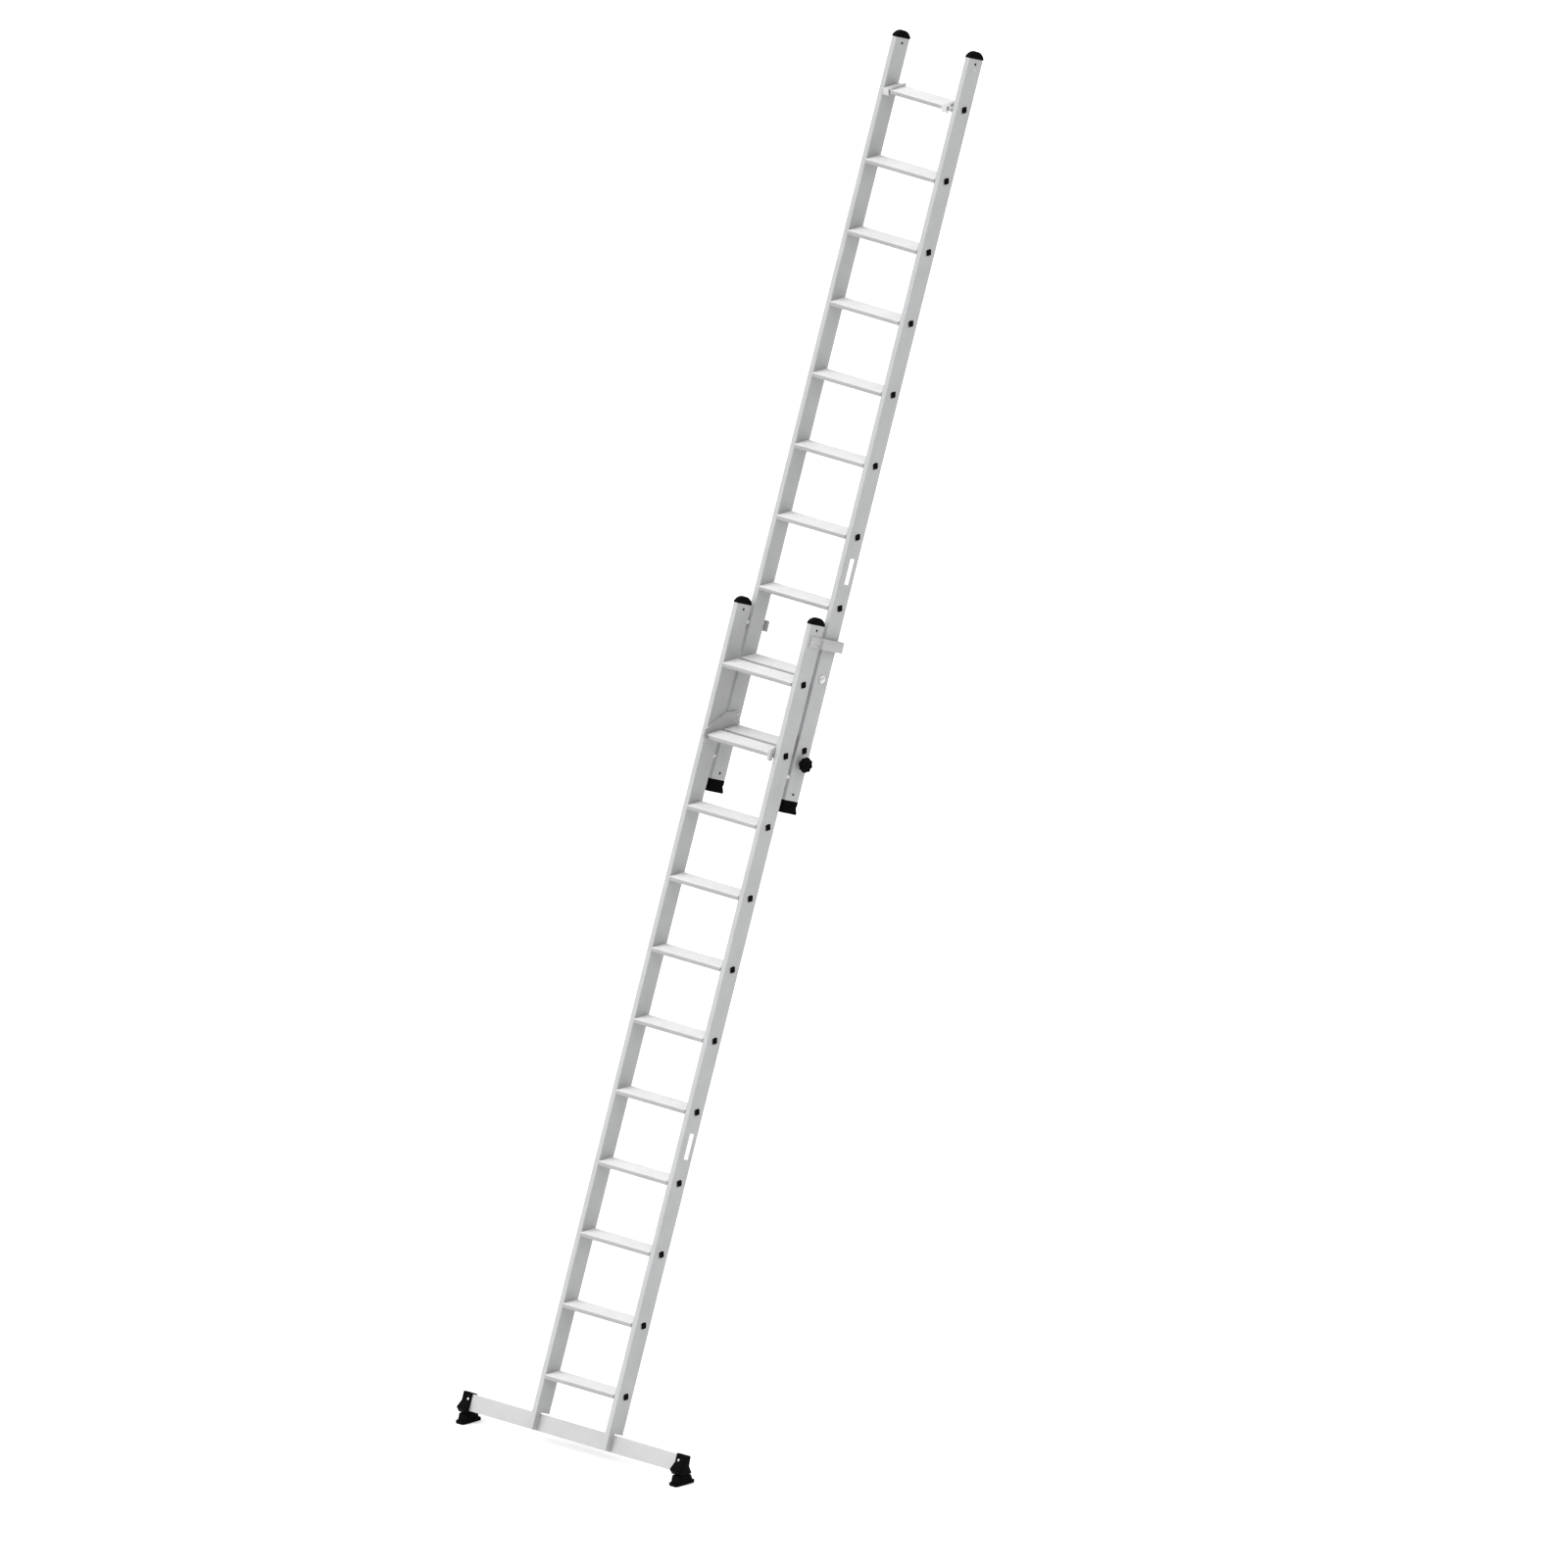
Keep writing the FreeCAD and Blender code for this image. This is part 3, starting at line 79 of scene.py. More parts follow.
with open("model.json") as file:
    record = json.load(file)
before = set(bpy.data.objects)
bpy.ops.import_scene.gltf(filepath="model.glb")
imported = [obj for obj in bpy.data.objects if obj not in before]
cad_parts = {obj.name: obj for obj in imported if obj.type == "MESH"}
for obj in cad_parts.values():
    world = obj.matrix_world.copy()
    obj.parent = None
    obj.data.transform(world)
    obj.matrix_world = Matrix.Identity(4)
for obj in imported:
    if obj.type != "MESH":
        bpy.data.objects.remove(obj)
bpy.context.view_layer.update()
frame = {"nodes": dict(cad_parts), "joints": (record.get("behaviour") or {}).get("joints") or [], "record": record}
joints = {joint["name"]: joint for joint in frame["joints"]}


def middle(node):
    """The centre of a CAD node's box."""
    low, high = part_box(node)
    return (low + high) / 2


# The ladder's own axes, from the slide that runs along the stiles.
UP = Vector(joints["fly_slide"]["axis"]).normalized()
BACK = Vector((0, UP.z, -UP.y))
ACROSS = Vector((1, 0, 0))
FOOT_END = middle("lower_tread_01") - LOWER_FIRST * UP
FOOT_END.x = 0
LADDER = Matrix((
    (ACROSS.x, BACK.x, UP.x, FOOT_END.x),
    (ACROSS.y, BACK.y, UP.y, FOOT_END.y),
    (ACROSS.z, BACK.z, UP.z, FOOT_END.z),
    (0, 0, 0, 1),
))
LEAN = math.atan2(UP.y, UP.z)


# ---------------------------------------------------------------- mesh helpers

def finish_mesh(bm, name, material, body, replaced=()):
    bmesh.ops.remove_doubles(bm, verts=bm.verts, dist=1e-6)
    bmesh.ops.recalc_face_normals(bm, faces=bm.faces)
    mesh = bpy.data.meshes.new(name)
    bm.to_mesh(mesh)
    bm.free()
    piece = bpy.data.objects.new(name, mesh)
    bpy.context.scene.collection.objects.link(piece)
    mesh.materials.append(material)
    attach(piece, body)
    for node in replaced:
        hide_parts(node)
    return piece


def smooth_by_angle(piece, degrees):
    """Shade smooth, with edges sharper than the angle kept crisp."""
    for polygon in piece.data.polygons:
        polygon.use_smooth = True
    bm = bmesh.new()
    bm.from_mesh(piece.data)
    limit = math.radians(degrees)
    for edge in bm.edges:
        edge.smooth = len(edge.link_faces) == 2 and edge.calc_face_angle(0) < limit
    bm.to_mesh(piece.data)
    bm.free()


def add_row(bm, outline, x, place):
    """A row of corners at x, from an outline of (y, z) points."""
    return [bm.verts.new(place @ Vector((x, y, z))) for y, z in outline]


def add_skin(bm, row, after):
    """Faces all round between two rows that have the same count of corners."""
    count = len(row)
    for i in range(count):
        j = (i + 1) % count
        bm.faces.new((row[i], row[j], after[j], after[i]))


def add_prism(bm, outline, start, end, place):
    """A closed prism along X between start and end, from an outline of (y, z) points."""
    rows = [add_row(bm, outline, x, place) for x in (start, end)]
    add_skin(bm, *rows)
    triangles = tessellate_polygon([[Vector((y, z, 0)) for y, z in outline]])
    for row in rows:
        for triangle in triangles:
            bm.faces.new([row[i] for i in triangle])


def add_loft(bm, rings, place):
    """A closed skin over rings of points that all have the same count."""
    rows = [[bm.verts.new(place @ Vector(point)) for point in ring] for ring in rings]
    for row, above in zip(rows, rows[1:]):
        add_skin(bm, row, above)
    bm.faces.new(rows[0])
    bm.faces.new(rows[-1])


def arc(centre, radius, start, end, steps):
    """Points on an arc, angles in degrees."""
    points = []
    for i in range(steps + 1):
        angle = math.radians(start + (end - start) * i / steps)
        points.append((centre[0] + radius * math.cos(angle), centre[1] + radius * math.sin(angle)))
    return points


def circle(radius):
    """Forty-eight points on a circle round the origin."""
    return arc((0, 0), radius, 0, 352.5, 47)


def rounded_rectangle(low_a, high_a, low_b, high_b, radius, steps=4):
    """A rectangle outline with round corners, anticlockwise from its upper right corner."""
    points = []
    corners = [
        (high_a - radius, high_b - radius, 0), (low_a + radius, high_b - radius, 90),
        (low_a + radius, low_b + radius, 180), (high_a - radius, low_b + radius, 270),
    ]
    for a, b, angle in corners:
        points += arc((a, b), radius, angle, angle + 90, steps)
    return points


def rounded_square(side, radius, steps=4):
    return rounded_rectangle(-side / 2, side / 2, -side / 2, side / 2, radius, steps)


# ---------------------------------------------------------------- materials

def new_material(name):
    """A material with its node tree and its shader."""
    material = bpy.data.materials.new(name)
    material.use_nodes = True
    return material, material.node_tree, material.node_tree.nodes["Principled BSDF"]


def add_noise(tree, scale, detail, stretch, turn=0.0):
    """Noise in the piece's own coordinates, stretched by the three factors and turned about X."""
    place = tree.nodes.new("ShaderNodeTexCoord")
    mapping = tree.nodes.new("ShaderNodeMapping")
    mapping.vector_type = "TEXTURE"
    mapping.inputs["Rotation"].default_value = (turn, 0, 0)
    mapping.inputs["Scale"].default_value = stretch
    noise = tree.nodes.new("ShaderNodeTexNoise")
    noise.inputs["Scale"].default_value = scale
    noise.inputs["Detail"].default_value = detail
    tree.links.new(place.outputs["Object"], mapping.inputs["Vector"])
    tree.links.new(mapping.outputs["Vector"], noise.inputs["Vector"])
    return noise


def add_range(tree, source, low, high):
    """Spread a noise's values over low to high."""
    spread = tree.nodes.new("ShaderNodeMapRange")
    spread.inputs["From Min"].default_value = 0.3
    spread.inputs["From Max"].default_value = 0.7
    spread.inputs["To Min"].default_value = low
    spread.inputs["To Max"].default_value = high
    tree.links.new(source.outputs["Fac"], spread.inputs["Value"])
    return spread


def add_tint(tree, source, dark, light):
    """Two colours mixed by a noise."""
    ramp = tree.nodes.new("ShaderNodeValToRGB")
    ramp.color_ramp.elements[0].position = 0.3
    ramp.color_ramp.elements[0].color = (*dark, 1)
    ramp.color_ramp.elements[1].position = 0.7
    ramp.color_ramp.elements[1].color = (*light, 1)
    tree.links.new(source.outputs["Fac"], ramp.inputs["Fac"])
    return ramp


def add_bump(tree, shader, source, strength, depth):
    """Fine relief from a noise; depth is in metres."""
    bump = tree.nodes.new("ShaderNodeBump")
    bump.inputs["Strength"].default_value = strength
    bump.inputs["Distance"].default_value = depth
    tree.links.new(source.outputs["Fac"], bump.inputs["Height"])
    tree.links.new(bump.outputs["Normal"], shader.inputs["Normal"])


def extruded_aluminium(name, dark, light, along_stile, roughness=(0.46, 0.6), metallic=0.12):
    """Satin extrusion: faint die lines along its length and soft cloudy patches."""
    material, tree, shader = new_material(name)
    shader.inputs["Metallic"].default_value = metallic
    if along_stile:
        lines = add_noise(tree, 420, 3, (1, 1, 120), -LEAN)
    else:
        lines = add_noise(tree, 420, 3, (120, 1, 1))
    clouds = add_noise(tree, 9, 4, (1, 1, 1))
    tint = add_tint(tree, clouds, dark, light)
    tree.links.new(tint.outputs["Color"], shader.inputs["Base Color"])
    rough = add_range(tree, lines, *roughness)
    tree.links.new(rough.outputs["Result"], shader.inputs["Roughness"])
    add_bump(tree, shader, lines, 0.12, 0.0002)
    return material


def moulded(name, dark, light, roughness, grain, depth, gloss=0.5):
    """Moulded plastic or rubber with a fine grain."""
    material, tree, shader = new_material(name)
    shader.inputs["Specular IOR Level"].default_value = gloss
    grains = add_noise(tree, grain, 2, (1, 1, 1))
    clouds = add_noise(tree, 30, 3, (1, 1, 1))
    tint = add_tint(tree, clouds, dark, light)
    tree.links.new(tint.outputs["Color"], shader.inputs["Base Color"])
    rough = add_range(tree, clouds, *roughness)
    tree.links.new(rough.outputs["Result"], shader.inputs["Roughness"])
    add_bump(tree, shader, grains, 0.25, depth)
    return material


def plated_steel(name, dark, light, roughness=(0.25, 0.42), metallic=0.8):
    """Zinc-plated or blackened steel with small patches."""
    material, tree, shader = new_material(name)
    shader.inputs["Metallic"].default_value = metallic
    spots = add_noise(tree, 260, 4, (1, 1, 1))
    tint = add_tint(tree, spots, dark, light)
    tree.links.new(tint.outputs["Color"], shader.inputs["Base Color"])
    rough = add_range(tree, spots, *roughness)
    tree.links.new(rough.outputs["Result"], shader.inputs["Roughness"])
    add_bump(tree, shader, spots, 0.1, 0.0001)
    return material


def grey(value, warmth=0.0):
    return (value * (1 + warmth), value, value * (1 - warmth))


STILE_METAL = extruded_aluminium("stile_metal", grey(0.355, -0.01), grey(0.390, -0.01), True)
# The tread's ribbed top gets this lighter copy of the tread aluminium: painted light, where the top faces the
# lamps.
TREAD_METAL_PAINTED_LIGHT = extruded_aluminium("tread_metal_painted_light", grey(0.535), grey(0.575), False)
# A darker copy of the tread aluminium for the lip, tube and rims below the top: painted shade.
LIP_METAL_PAINTED_SHADE = extruded_aluminium("lip_metal_painted_shade", grey(0.285), grey(0.315), False)
BAR_METAL = extruded_aluminium("bar_metal", grey(0.375), grey(0.41), False)
PLATE_METAL = extruded_aluminium("plate_metal", grey(0.35), grey(0.39), False, (0.44, 0.58))
CLIP_METAL = extruded_aluminium("clip_metal", grey(0.44), grey(0.49), False, (0.44, 0.58))
BLACK_PLASTIC = moulded("black_plastic", grey(0.0015), grey(0.003), (0.5, 0.62), 1600, 0.0001, 0.02)
FOOT_PLASTIC = moulded("foot_plastic", grey(0.0015), grey(0.003), (0.5, 0.65), 1300, 0.0001, 0.02)
RUBBER = moulded("black_rubber", grey(0.0015), grey(0.003), (0.65, 0.85), 900, 0.0002, 0.02)
PALE_PLASTIC = moulded("pale_plastic", grey(0.62), grey(0.68), (0.4, 0.55), 1200, 0.0001)
BRIGHT_STEEL = plated_steel("zinc_plated", grey(0.52), grey(0.62))
DARK_STEEL = moulded("black_screw", grey(0.004), grey(0.008), (0.4, 0.55), 1400, 0.0001, 0.05)
RIVET_METAL = plated_steel("rivet_metal", grey(0.48), grey(0.56), (0.35, 0.5))
LABEL_WHITE = moulded("label_white", grey(0.86), grey(0.90), (0.35, 0.45), 500, 0.00005)

SLOT_MATERIALS = {
    "stile": STILE_METAL, "tread": TREAD_METAL_PAINTED_LIGHT, "bar": BAR_METAL, "plate": PLATE_METAL,
    "clip": CLIP_METAL, "plug": BLACK_PLASTIC, "cap": BLACK_PLASTIC, "knob": BLACK_PLASTIC,
    "glide": PALE_PLASTIC, "block": BLACK_PLASTIC, "foot_plastic": FOOT_PLASTIC, "rubber": RUBBER,
    "bolt": BRIGHT_STEEL, "steel": BRIGHT_STEEL, "dark_screw": DARK_STEEL, "rivet": RIVET_METAL,
}
node_slots = {part["node"]: part["material_slot"] for part in frame["record"]["subparts"]}
for node, piece in frame["nodes"].items():
    material = SLOT_MATERIALS[node_slots[node]]
    piece.data.materials.clear()
    piece.data.materials.append(material)
    for polygon in piece.data.polygons:
        polygon.material_index = 0


# ---------------------------------------------------------------- treads and plugs

RIB_HIGH = 0.8 * MM
RIBS_ON_TUBE = 10
RIBS_EACH_SIDE = 13
RIB_PITCH = TUBE / RIBS_ON_TUBE
# A rib and the groove after it: place in rib pitches from the rib's middle, and drop below the top.
RIB_SHAPE = ((-0.15, 0), (0, 0), (0.15, 0), (0.35, RIB_HIGH), (0.65, RIB_HIGH))
# The share of the lip's round, from the top down, that has the lighter copy of the tread metal (painted light);
# below it the same aluminium is darker, as painted shade.
TOP_SHARE = 0.35
LIP_CHAMFER = 0.5 * MM


def lip_under(side):
    """The lower end of the front (-1) or rear (1) lip, from its outer face to its inner one."""
    low = TREAD_TOP - LIP_HIGH
    half = TREAD_DEEP / 2
    inner = half - LIP_WALL
    points = [(side * y, z) for y, z in arc((half - LIP_UNDER, low + LIP_UNDER), LIP_UNDER, 0, -90, 4)]
    return points + [(side * (inner + LIP_CHAMFER), low), (side * inner, low + LIP_CHAMFER)]


def ribbed_top():
    """The tread's upper line from front to rear; each rib has a point at its middle."""
    points = []
    for k in range(-RIBS_EACH_SIDE, RIBS_EACH_SIDE + 1):
        for shift, drop in RIB_SHAPE:
            if drop == 0 or k < RIBS_EACH_SIDE:
                points.append(((k + shift) * RIB_PITCH, TREAD_TOP - drop))
    return points


def tread_sections():
    """The tread's outline, and as places in it the tube's outline and the front and rear wings."""
    half = TREAD_DEEP / 2
    under = TREAD_TOP - PLATE
    front = arc((-half + LIP_ROUND, TREAD_TOP - LIP_ROUND), LIP_ROUND, 180, 90, 6)
    rear = arc((half - LIP_ROUND, TREAD_TOP - LIP_ROUND), LIP_ROUND, 90, 0, 6)
    top = ribbed_top()
    outline = front + top + rear + lip_under(1) + [(half - LIP_WALL, under)]
    below = len(outline)
    outline += [(TUBE / 2, under), (TUBE / 2, -TUBE / 2), (-TUBE / 2, -TUBE / 2), (-TUBE / 2, under)]
    outline += [(-half + LIP_WALL, under)] + list(reversed(lip_under(-1)))
    tube_ribs = RIBS_ON_TUBE // 2
    first = len(front) + len(RIB_SHAPE) * (RIBS_EACH_SIDE - tube_ribs) + 1
    last = len(front) + len(RIB_SHAPE) * (RIBS_EACH_SIDE + tube_ribs) + 1
    core = list(range(first, last + 1)) + list(range(below, below + 4))
    front_wing = list(range(below + 3, len(outline))) + list(range(first + 1))
    rear_wing = list(range(last, below + 1))
    return outline, core, front_wing, rear_wing


def add_end(bm, rows, turn_back):
    """A flat end over the first row of corners, with the other rows as its holes."""
    flat = [[(turn_back @ vertex.co).yz.to_3d() for vertex in row] for row in rows]
    corners = [vertex for row in rows for vertex in row]
    for triangle in tessellate_polygon(flat):
        bm.faces.new([corners[i] for i in triangle])


def make_tread(node, body):
    """One tread as a single closed skin: ribbed surface, square tube, and a flared rim at each end."""
    bm = bmesh.new()
    place = Matrix.Translation(middle(node))
    turn_back = place.inverted()
    outline, core, front_wing, rear_wing = tread_sections()
    inner = STILE_MID - STILE_WIDE / 2
    outer = STILE_MID + STILE_WIDE / 2
    bore = rounded_square(BORE, 1 * MM, 2)
    rim = rounded_square(RIM, 3 * MM)
    surface = {}
    bores = {}
    for side in (-1, 1):
        surface[side] = add_row(bm, outline, side * inner, place)
        for wing in (front_wing, rear_wing):
            add_end(bm, [[surface[side][i] for i in wing]], turn_back)
        tube_start = [surface[side][i] for i in core]
        tube_end = add_row(bm, [outline[i] for i in core], side * outer, place)
        rim_start = add_row(bm, rim, side * outer, place)
        rim_end = add_row(bm, rim, side * (outer + RIM_THICK), place)
        bores[side] = add_row(bm, bore, side * (outer + RIM_THICK), place)
        add_skin(bm, tube_start, tube_end)
        add_end(bm, [rim_start, tube_end], turn_back)
        add_skin(bm, rim_start, rim_end)
        add_end(bm, [rim_end, bores[side]], turn_back)
    add_skin(bm, surface[-1], surface[1])
    add_skin(bm, bores[-1], bores[1])
    piece = finish_mesh(bm, node + "_ribbed", TREAD_METAL_PAINTED_LIGHT, body, [node])
    piece.data.materials.append(LIP_METAL_PAINTED_SHADE)
    # Faces below the shoulder take the darker copy, painted shade on the lip, tube and rims; the ribbed top keeps
    # the lighter copy, painted light.
    shoulder = middle(node).z + TREAD_TOP - TOP_SHARE * LIP_ROUND
    for polygon in piece.data.polygons:
        if polygon.center.z < shoulder:
            polygon.material_index = 1
    smooth_by_angle(piece, 28)


def add_plug(bm, place):
    """A square plug along +X: a flange over the rim from x = 0, its face dished inside a border."""
    body = PLUG / 2
    edge = PLUG_FLANGE / 2
    steps = [
        (body - 0.4 * MM, -PLUG_LONG), (body, -PLUG_LONG + 1 * MM), (body, 0), (edge, 0),
        (edge, PLUG_PROUD - 0.4 * MM), (edge - 0.4 * MM, PLUG_PROUD), (edge - 2.4 * MM, PLUG_PROUD),
        (edge - 3 * MM, PLUG_PROUD - 0.8 * MM),
    ]
    rings = []
    for reach, x in steps:
        outline = rounded_square(2 * reach, min(PLUG_ROUND, 0.8 * reach))
        rings.append([(x, y, z) for y, z in outline])
    add_loft(bm, rings, place)


def make_plugs(name, prefix, count, body, missing):
    """Plugs in both ends of every tread but the one in missing, as (side, number)."""
    bm = bmesh.new()
    reach = STILE_MID + STILE_WIDE / 2 + RIM_THICK
    for number in range(1, count + 1):
        centre = middle("%s_tread_%02d" % (prefix, number))
        for _, side in SIDES:
            if (side, number) == missing:
                continue
            turn = Matrix.Rotation(0 if side == 1 else math.pi, 4, "Z")
            spot = Vector((side * reach, centre.y, centre.z))
            add_plug(bm, Matrix.Translation(spot) @ turn)
    piece = finish_mesh(bm, name + "_dished", BLACK_PLASTIC, body, [name])
    smooth_by_angle(piece, 35)


for node in sorted(frame["nodes"]):
    if "_tread_" in node and node[-2:].isdigit():
        make_tread(node, "lower_section" if node.startswith("lower") else "upper_section")
make_plugs("lower_tread_plugs", "lower", 11, "lower_section", None)
make_plugs("upper_tread_plugs", "upper", 10, "upper_section", (1, 2))


# ---------------------------------------------------------------- end caps, rubber feet and knob

CAP_HIGH = 29 * MM
CAP_SHOULDER = 8 * MM
CAP_ROUND = 4 * MM
CAP_HALF_WIDE = STILE_WIDE / 2 + 0.6 * MM
CAP_HALF_DEEP = STILE_DEEP / 2 + 0.6 * MM
CAP_RISE = CAP_HIGH - CAP_SHOULDER
CAP_RADIUS = (CAP_HALF_DEEP ** 2 + CAP_RISE ** 2) / (2 * CAP_RISE)
TONGUE_HALF_WIDE = 10.4 * MM
TONGUE_HALF_DEEP = 36.6 * MM
TONGUE_ROUND = 2.6 * MM
# Depth below the stile, and how far behind its middle the rubber foot reaches there, in mm.
RUBBER_REAR = ((0, 38.75), (17, 39.55), (22, 35.75), (44, 46.75), (50, 44.75))
RUBBER_GROOVE = 0.9 * MM
RUBBER_EDGE = 1.0 * MM


def add_tongue(bm, low, high, place):
    """The block of a cap or rubber foot that goes into the stile, between two heights."""
    outline = rounded_rectangle(-TONGUE_HALF_WIDE, TONGUE_HALF_WIDE, -TONGUE_HALF_DEEP, TONGUE_HALF_DEEP,
                                TONGUE_ROUND)
    add_loft(bm, [[(x, v, u) for x, v in outline] for u in (low, high)], place)


def cap_ring(x, inset):
    """The cap's section at x: straight sides, and an arc over them."""
    side = CAP_HALF_DEEP - 0.4 * inset
    radius = CAP_RADIUS - inset
    start = math.degrees(math.acos(side / radius))
    crown = arc((0, CAP_HIGH - CAP_RADIUS), radius, start, 180 - start, 28)
    return [(x, v, u) for v, u in crown] + [(x, -side, 0), (x, side, 0)]


def make_cap(node, body, place):
    """A domed cap whose long edges are rounded, with a tongue below."""
    bm = bmesh.new()
    slices = 6
    steps = [CAP_ROUND * (1 - math.cos(math.radians(90 * i / slices))) for i in range(slices + 1)]
    offsets = [-CAP_HALF_WIDE + step for step in steps]
    offsets += [-x for x in reversed(offsets)]
    rings = []
    for x in offsets:
        edge = max(0.0, abs(x) - (CAP_HALF_WIDE - CAP_ROUND))
        inset = CAP_ROUND - math.sqrt(max(0.0, CAP_ROUND ** 2 - edge ** 2))
        rings.append(cap_ring(x, inset))
    add_loft(bm, rings, place)
    add_tongue(bm, -34 * MM, 1 * MM, place)
    piece = finish_mesh(bm, node + "_dome", BLACK_PLASTIC, body, [node])
    smooth_by_angle(piece, 40)


def rubber_profile(u):
    """Front and rear of the rubber foot at a depth u below the stile."""
    front = -STILE_DEEP / 2 - 1 * MM * min(1.0, u / (40 * MM))
    for (depth_a, back_a), (depth_b, back_b) in zip(RUBBER_REAR, RUBBER_REAR[1:]):
        if u <= depth_b * MM + 1e-9:
            part = (u / MM - depth_a) / (depth_b - depth_a)
            return front, (back_a + part * (back_b - back_a)) * MM
    return front, RUBBER_REAR[-1][1] * MM


def make_rubber_foot(node, place):
    """A ribbed block: shallow grooves run round it."""
    bm = bmesh.new()
    rings = []
    steps = 50
    for i in range(steps + 1):
        depth = RUBBER_HIGH * i / steps
        front, rear = rubber_profile(depth)
        groove = RUBBER_GROOVE if i % 6 in (3, 4) and 3 < i < 47 else 0.0
        if i == steps:
            groove = RUBBER_EDGE
        half = STILE_WIDE / 2 - groove
        outline = rounded_rectangle(-half, half, front + groove, rear - groove, 2.5 * MM)
        rings.append([(x, v, -depth) for x, v in outline])
    add_loft(bm, rings, place)
    add_tongue(bm, -1 * MM, 39 * MM, place)
    piece = finish_mesh(bm, node + "_ribbed", RUBBER, "upper_section", [node])
    smooth_by_angle(piece, 35)


for prefix, body, back, top in (
    ("lower_cap_", "lower_section", 0, LOWER_LONG),
    ("upper_cap_", "upper_section", UPPER_BACK, UPPER_START + UPPER_LONG),
):
    for side_name, side in SIDES:
        make_cap(prefix + side_name, body, LADDER @ Matrix.Translation((side * STILE_MID, back, top)))
for side_name, side in SIDES:
    spot = Matrix.Translation((side * STILE_MID, UPPER_BACK, UPPER_START))
    make_rubber_foot("rubber_foot_" + side_name, LADDER @ spot)


# ---------------------------------------------------------------- star knob

def knob_ring(x, scale, depth):
    """The knob's outline at x: round lobes with hollows of the given depth between them."""
    points = []
    count = 12 * KNOB_LOBES
    for i in range(count):
        angle = 2 * math.pi * i / count
        wave = 0.5 + 0.5 * math.cos(KNOB_LOBES * angle)
        radius = scale * KNOB_RADIUS - depth * wave ** 1.6
        points.append((x, radius * math.cos(angle), radius * math.sin(angle)))
    return points


def make_knob():
    """An eight-lobed moulded knob with rounded edges, a dished face and a hub."""
    bm = bmesh.new()
    low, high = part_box("star_knob")
    place = Matrix.Translation((STILE_MID + STILE_WIDE / 2, (low.y + high.y) / 2, (low.z + high.z) / 2))
    inner = KNOB_OUT - KNOB_THICK
    steps = [
        (inner, 0.90, 3.5), (inner + 1.5 * MM, 0.97, 4.2), (inner + 4 * MM, 1.0, 4.6),
        (KNOB_OUT - 5 * MM, 1.0, 4.6), (KNOB_OUT - 2 * MM, 0.96, 4.2), (KNOB_OUT - 0.4 * MM, 0.88, 3.4),
        (KNOB_OUT, 0.80, 2.4), (KNOB_OUT - 0.2 * MM, 0.62, 0.8), (KNOB_OUT - 2.6 * MM, 0.50, 0.0),
    ]
    add_loft(bm, [knob_ring(x, scale, depth * MM) for x, scale, depth in steps], place)
    hub = []
    for x, radius in (
        (0.5 * MM, KNOB_HUB), (inner - 2 * MM, KNOB_HUB), (inner + 0.5 * MM, KNOB_HUB + 3 * MM),
    ):
        hub.append([(x, y, z) for y, z in circle(radius)])
    add_loft(bm, hub, place)
    boss = []
    for x, radius in (
        (KNOB_OUT - 3 * MM, 9 * MM), (KNOB_OUT - 1.2 * MM, 9 * MM), (KNOB_OUT - 0.3 * MM, 7.6 * MM),
    ):
        boss.append([(x, y, z) for y, z in circle(radius)])
    add_loft(bm, boss, place)
    piece = finish_mesh(bm, "star_knob_lobed", BLACK_PLASTIC, "lock", ["star_knob"])
    smooth_by_angle(piece, 40)


make_knob()


# ---------------------------------------------------------------- feet and rounded copies

def make_sole(side_name, side):
    """The rubber sole, with grooves across its tread that show at its edges."""
    bm = bmesh.new()
    centre = Matrix.Translation((side * FOOT_MID, FOOT_END.y, 0))
    half = SHOE_WIDE / 2
    rear = SHOE_FRONT + SHOE_LONG
    outline = rounded_rectangle(-half, half, SHOE_FRONT, rear, SHOE_ROUND, 6)
    add_loft(bm, [[(x, y, z) for x, y in outline] for z in (1.6 * MM, SOLE_THICK)], centre)
    pads = 9
    pitch = SHOE_LONG / pads
    for i in range(pads):
        start = SHOE_FRONT + i * pitch + 0.9 * MM
        end = start + pitch - 1.8 * MM
        reach = half - (4 * MM if i in (0, pads - 1) else 0.6 * MM)
        pad = rounded_rectangle(-reach, reach, start, end, 1.2 * MM, 2)
        add_loft(bm, [[(x, y, z) for x, y in pad] for z in (0, 1.6 * MM)], centre)
    node = "foot_sole_" + side_name
    piece = finish_mesh(bm, node + "_grooved", RUBBER, side_name + "_shoe", [node])
    smooth_by_angle(piece, 35)


def rounded_copy(node, body, material, width, segments=3):
    """A copy of a CAD node, its sharp edges bevelled by width or as far as its short edges allow."""
    source = frame["nodes"][node]
    mesh = bpy.data.meshes.new_from_object(source)
    mesh.transform(source.matrix_world)
    bm = bmesh.new()
    bm.from_mesh(mesh)
    bmesh.ops.remove_doubles(bm, verts=bm.verts, dist=1e-6)
    bmesh.ops.dissolve_limit(bm, angle_limit=math.radians(1.0), verts=bm.verts, edges=bm.edges)
    sharp = [e for e in bm.edges if len(e.link_faces) == 2 and e.calc_face_angle(0) > math.radians(30)]
    bmesh.ops.bevel(bm, geom=sharp, offset=width, offset_type="OFFSET", segments=segments,
                    profile=0.5, affect="EDGES", clamp_overlap=True)
    piece = finish_mesh(bm, node + "_rounded", material, body, [node])
    smooth_by_angle(piece, 35)
    bpy.data.meshes.remove(mesh)


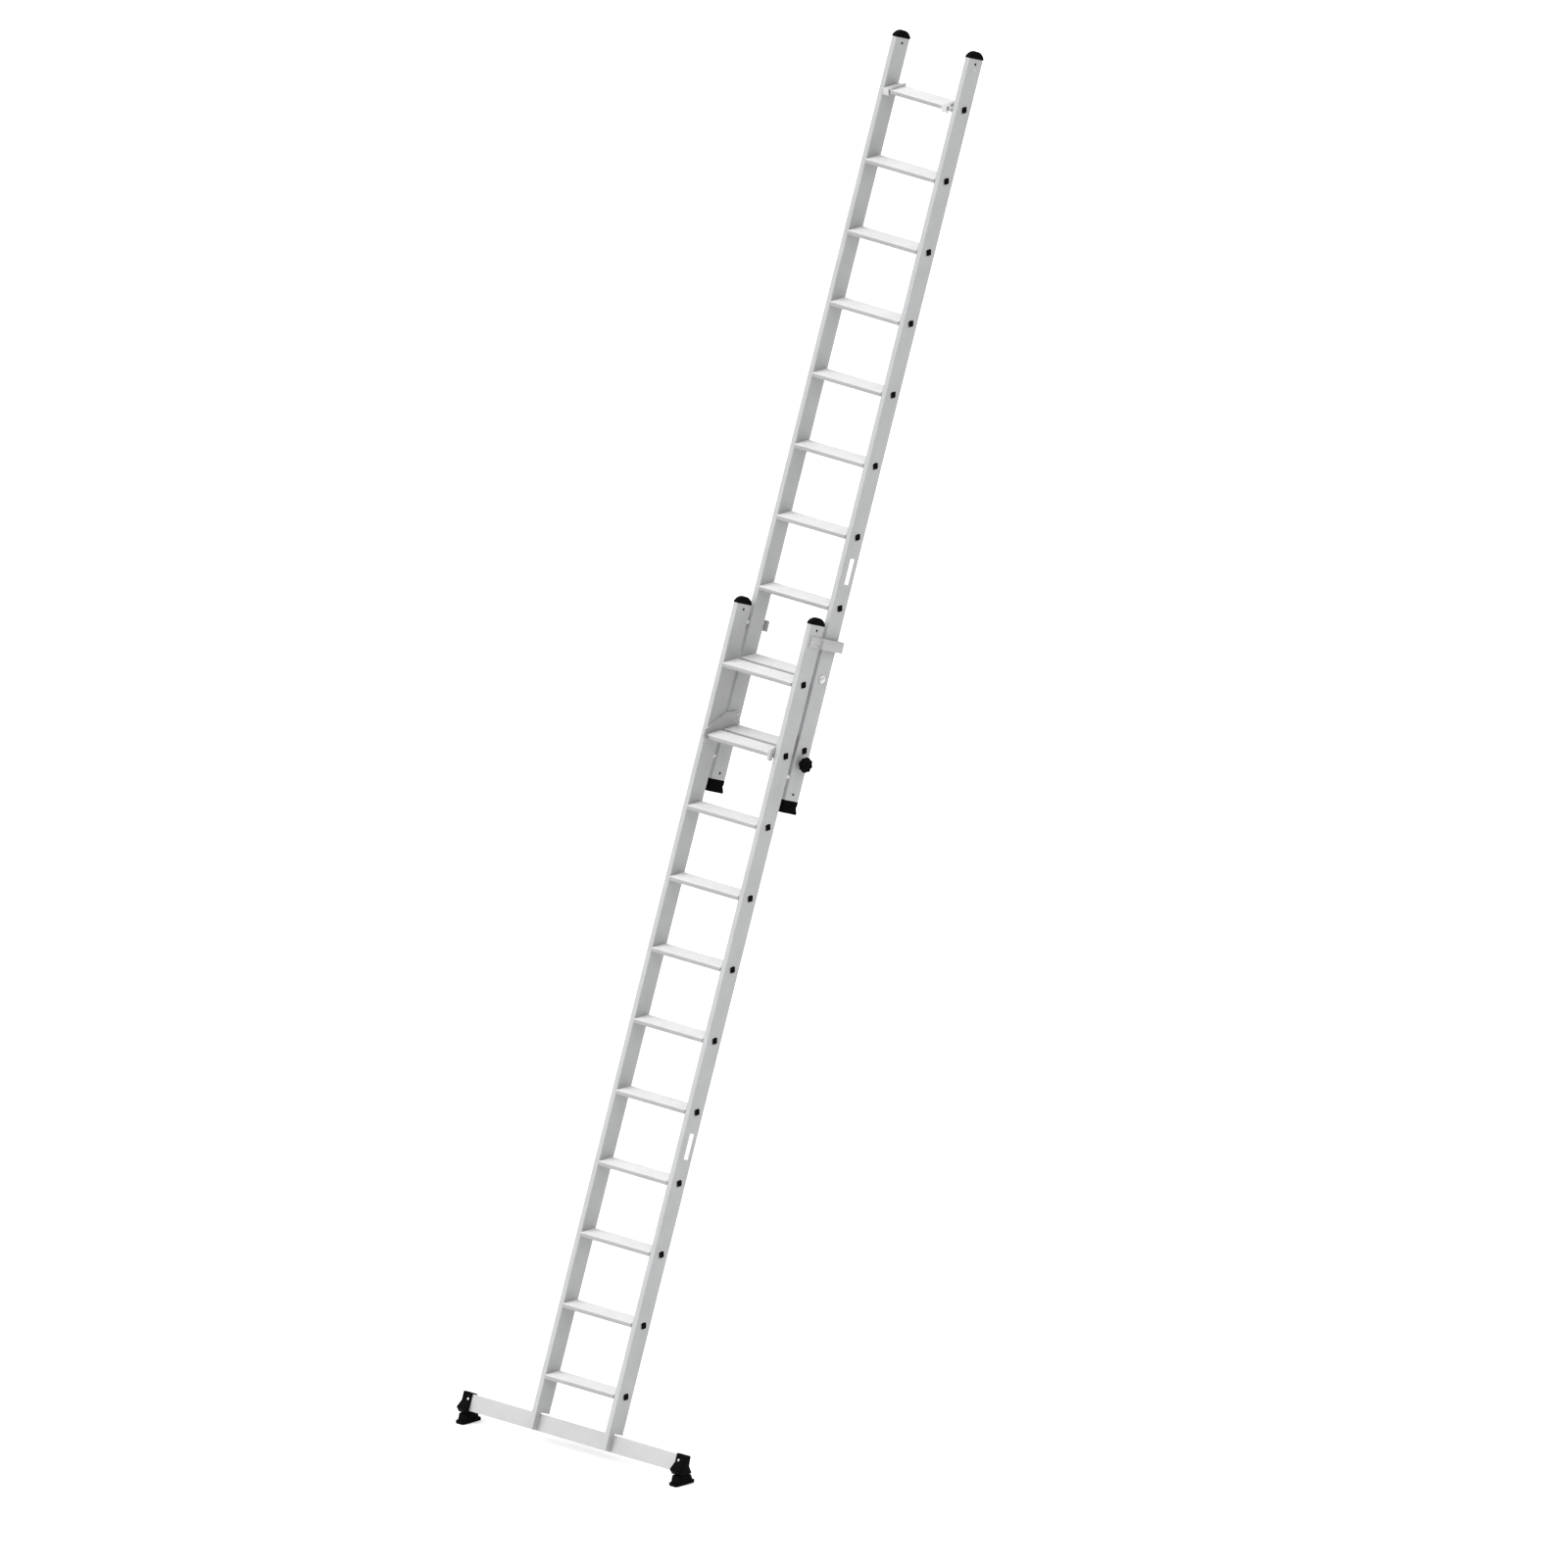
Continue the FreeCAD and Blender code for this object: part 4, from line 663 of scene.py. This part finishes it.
# The housings' short edges hold their bevel below 0.4 mm, whatever width is given.
for side_name, side in SIDES:
    make_sole(side_name, side)
    rounded_copy("foot_housing_" + side_name, "lower_section", FOOT_PLASTIC, 0.9 * MM)
    rounded_copy("foot_shoe_" + side_name, side_name + "_shoe", FOOT_PLASTIC, 0.8 * MM)
    rounded_copy("guide_bracket_" + side_name, "lower_section", PLATE_METAL, 0.5 * MM, 2)
    rounded_copy("hook_plate_" + side_name, "upper_section", PLATE_METAL, 0.7 * MM, 2)
rounded_copy("top_tread_clips", "upper_section", CLIP_METAL, 0.4 * MM, 2)
rounded_copy("lock_claw", "lock", BRIGHT_STEEL, 0.5 * MM, 2)


# ---------------------------------------------------------------- labels

LABEL_WIDE = 22 * MM
LABEL_HIGH = 102 * MM
LABEL_SUNK = 0.1 * MM
LABEL_PROUD = 0.25 * MM


def make_label(name, body, v, u):
    """A plain blank label with rounded corners on the right stile's outer face."""
    bm = bmesh.new()
    face = STILE_MID + STILE_WIDE / 2
    outline = rounded_rectangle(v - LABEL_WIDE / 2, v + LABEL_WIDE / 2, u - LABEL_HIGH / 2,
                                u + LABEL_HIGH / 2, 2 * MM)
    add_prism(bm, outline, face - LABEL_SUNK, face + LABEL_PROUD, LADDER)
    finish_mesh(bm, name, LABEL_WHITE, body)


make_label("upper_label", "upper_section", v=97 * MM, u=3475 * MM)
make_label("lower_label", "lower_section", v=4 * MM, u=1201 * MM)


# ---------------------------------------------------------------- floor, light and camera

FLOOR_REACH = 60
FLOOR_LOW = -0.5 * MM


def make_floor():
    """A pale floor, just below the soles."""
    bm = bmesh.new()
    spots = ((-FLOOR_REACH, -FLOOR_REACH), (FLOOR_REACH, -FLOOR_REACH),
             (FLOOR_REACH, FLOOR_REACH), (-FLOOR_REACH, FLOOR_REACH))
    corners = [bm.verts.new((x, y, FLOOR_LOW)) for x, y in spots]
    bm.faces.new(corners)
    mesh = bpy.data.meshes.new("floor")
    bm.to_mesh(mesh)
    bm.free()
    floor = bpy.data.objects.new("floor", mesh)
    bpy.context.scene.collection.objects.link(floor)
    material, _, shader = new_material("pale_floor")
    shader.inputs["Base Color"].default_value = (0.93, 0.93, 0.93, 1)
    shader.inputs["Roughness"].default_value = 0.9
    mesh.materials.append(material)


def add_sun(name, direction, strength, softness):
    """A sun that shines from the given direction."""
    data = bpy.data.lights.new(name, "SUN")
    data.energy = strength
    data.angle = math.radians(softness)
    sun = bpy.data.objects.new(name, data)
    sun.rotation_euler = Vector(direction).to_track_quat("Z", "Y").to_euler()
    bpy.context.scene.collection.objects.link(sun)


def set_world(strength):
    world = bpy.data.worlds.new("studio")
    world.use_nodes = True
    background = world.node_tree.nodes["Background"]
    background.inputs["Color"].default_value = (1, 1, 1, 1)
    background.inputs["Strength"].default_value = strength
    bpy.context.scene.world = world


AZIMUTH = math.radians(45)
ELEVATION = math.radians(17)
FRAME_SPAN = 5.978
LOOK_AT = Vector((0, 0.1561, 2.422))
CAMERA_BACK = 14.0


def add_camera():
    data = bpy.data.cameras.new("camera")
    data.type = "ORTHO"
    data.ortho_scale = FRAME_SPAN
    data.clip_end = 100
    camera = bpy.data.objects.new("camera", data)
    away = Vector((
        math.sin(AZIMUTH) * math.cos(ELEVATION),
        -math.cos(AZIMUTH) * math.cos(ELEVATION),
        math.sin(ELEVATION),
    ))
    camera.location = LOOK_AT + CAMERA_BACK * away
    camera.rotation_euler = away.to_track_quat("Z", "Y").to_euler()
    bpy.context.scene.collection.objects.link(camera)
    bpy.context.scene.camera = camera


make_floor()
set_world(strength=0.30)
add_sun("overhead", (-0.02, -0.05, 1.0), strength=3.6, softness=130)
add_sun("front", (-0.3, -0.75, 0.6), strength=1.5, softness=60)
add_camera()
bpy.context.scene.view_settings.view_transform = "Standard"
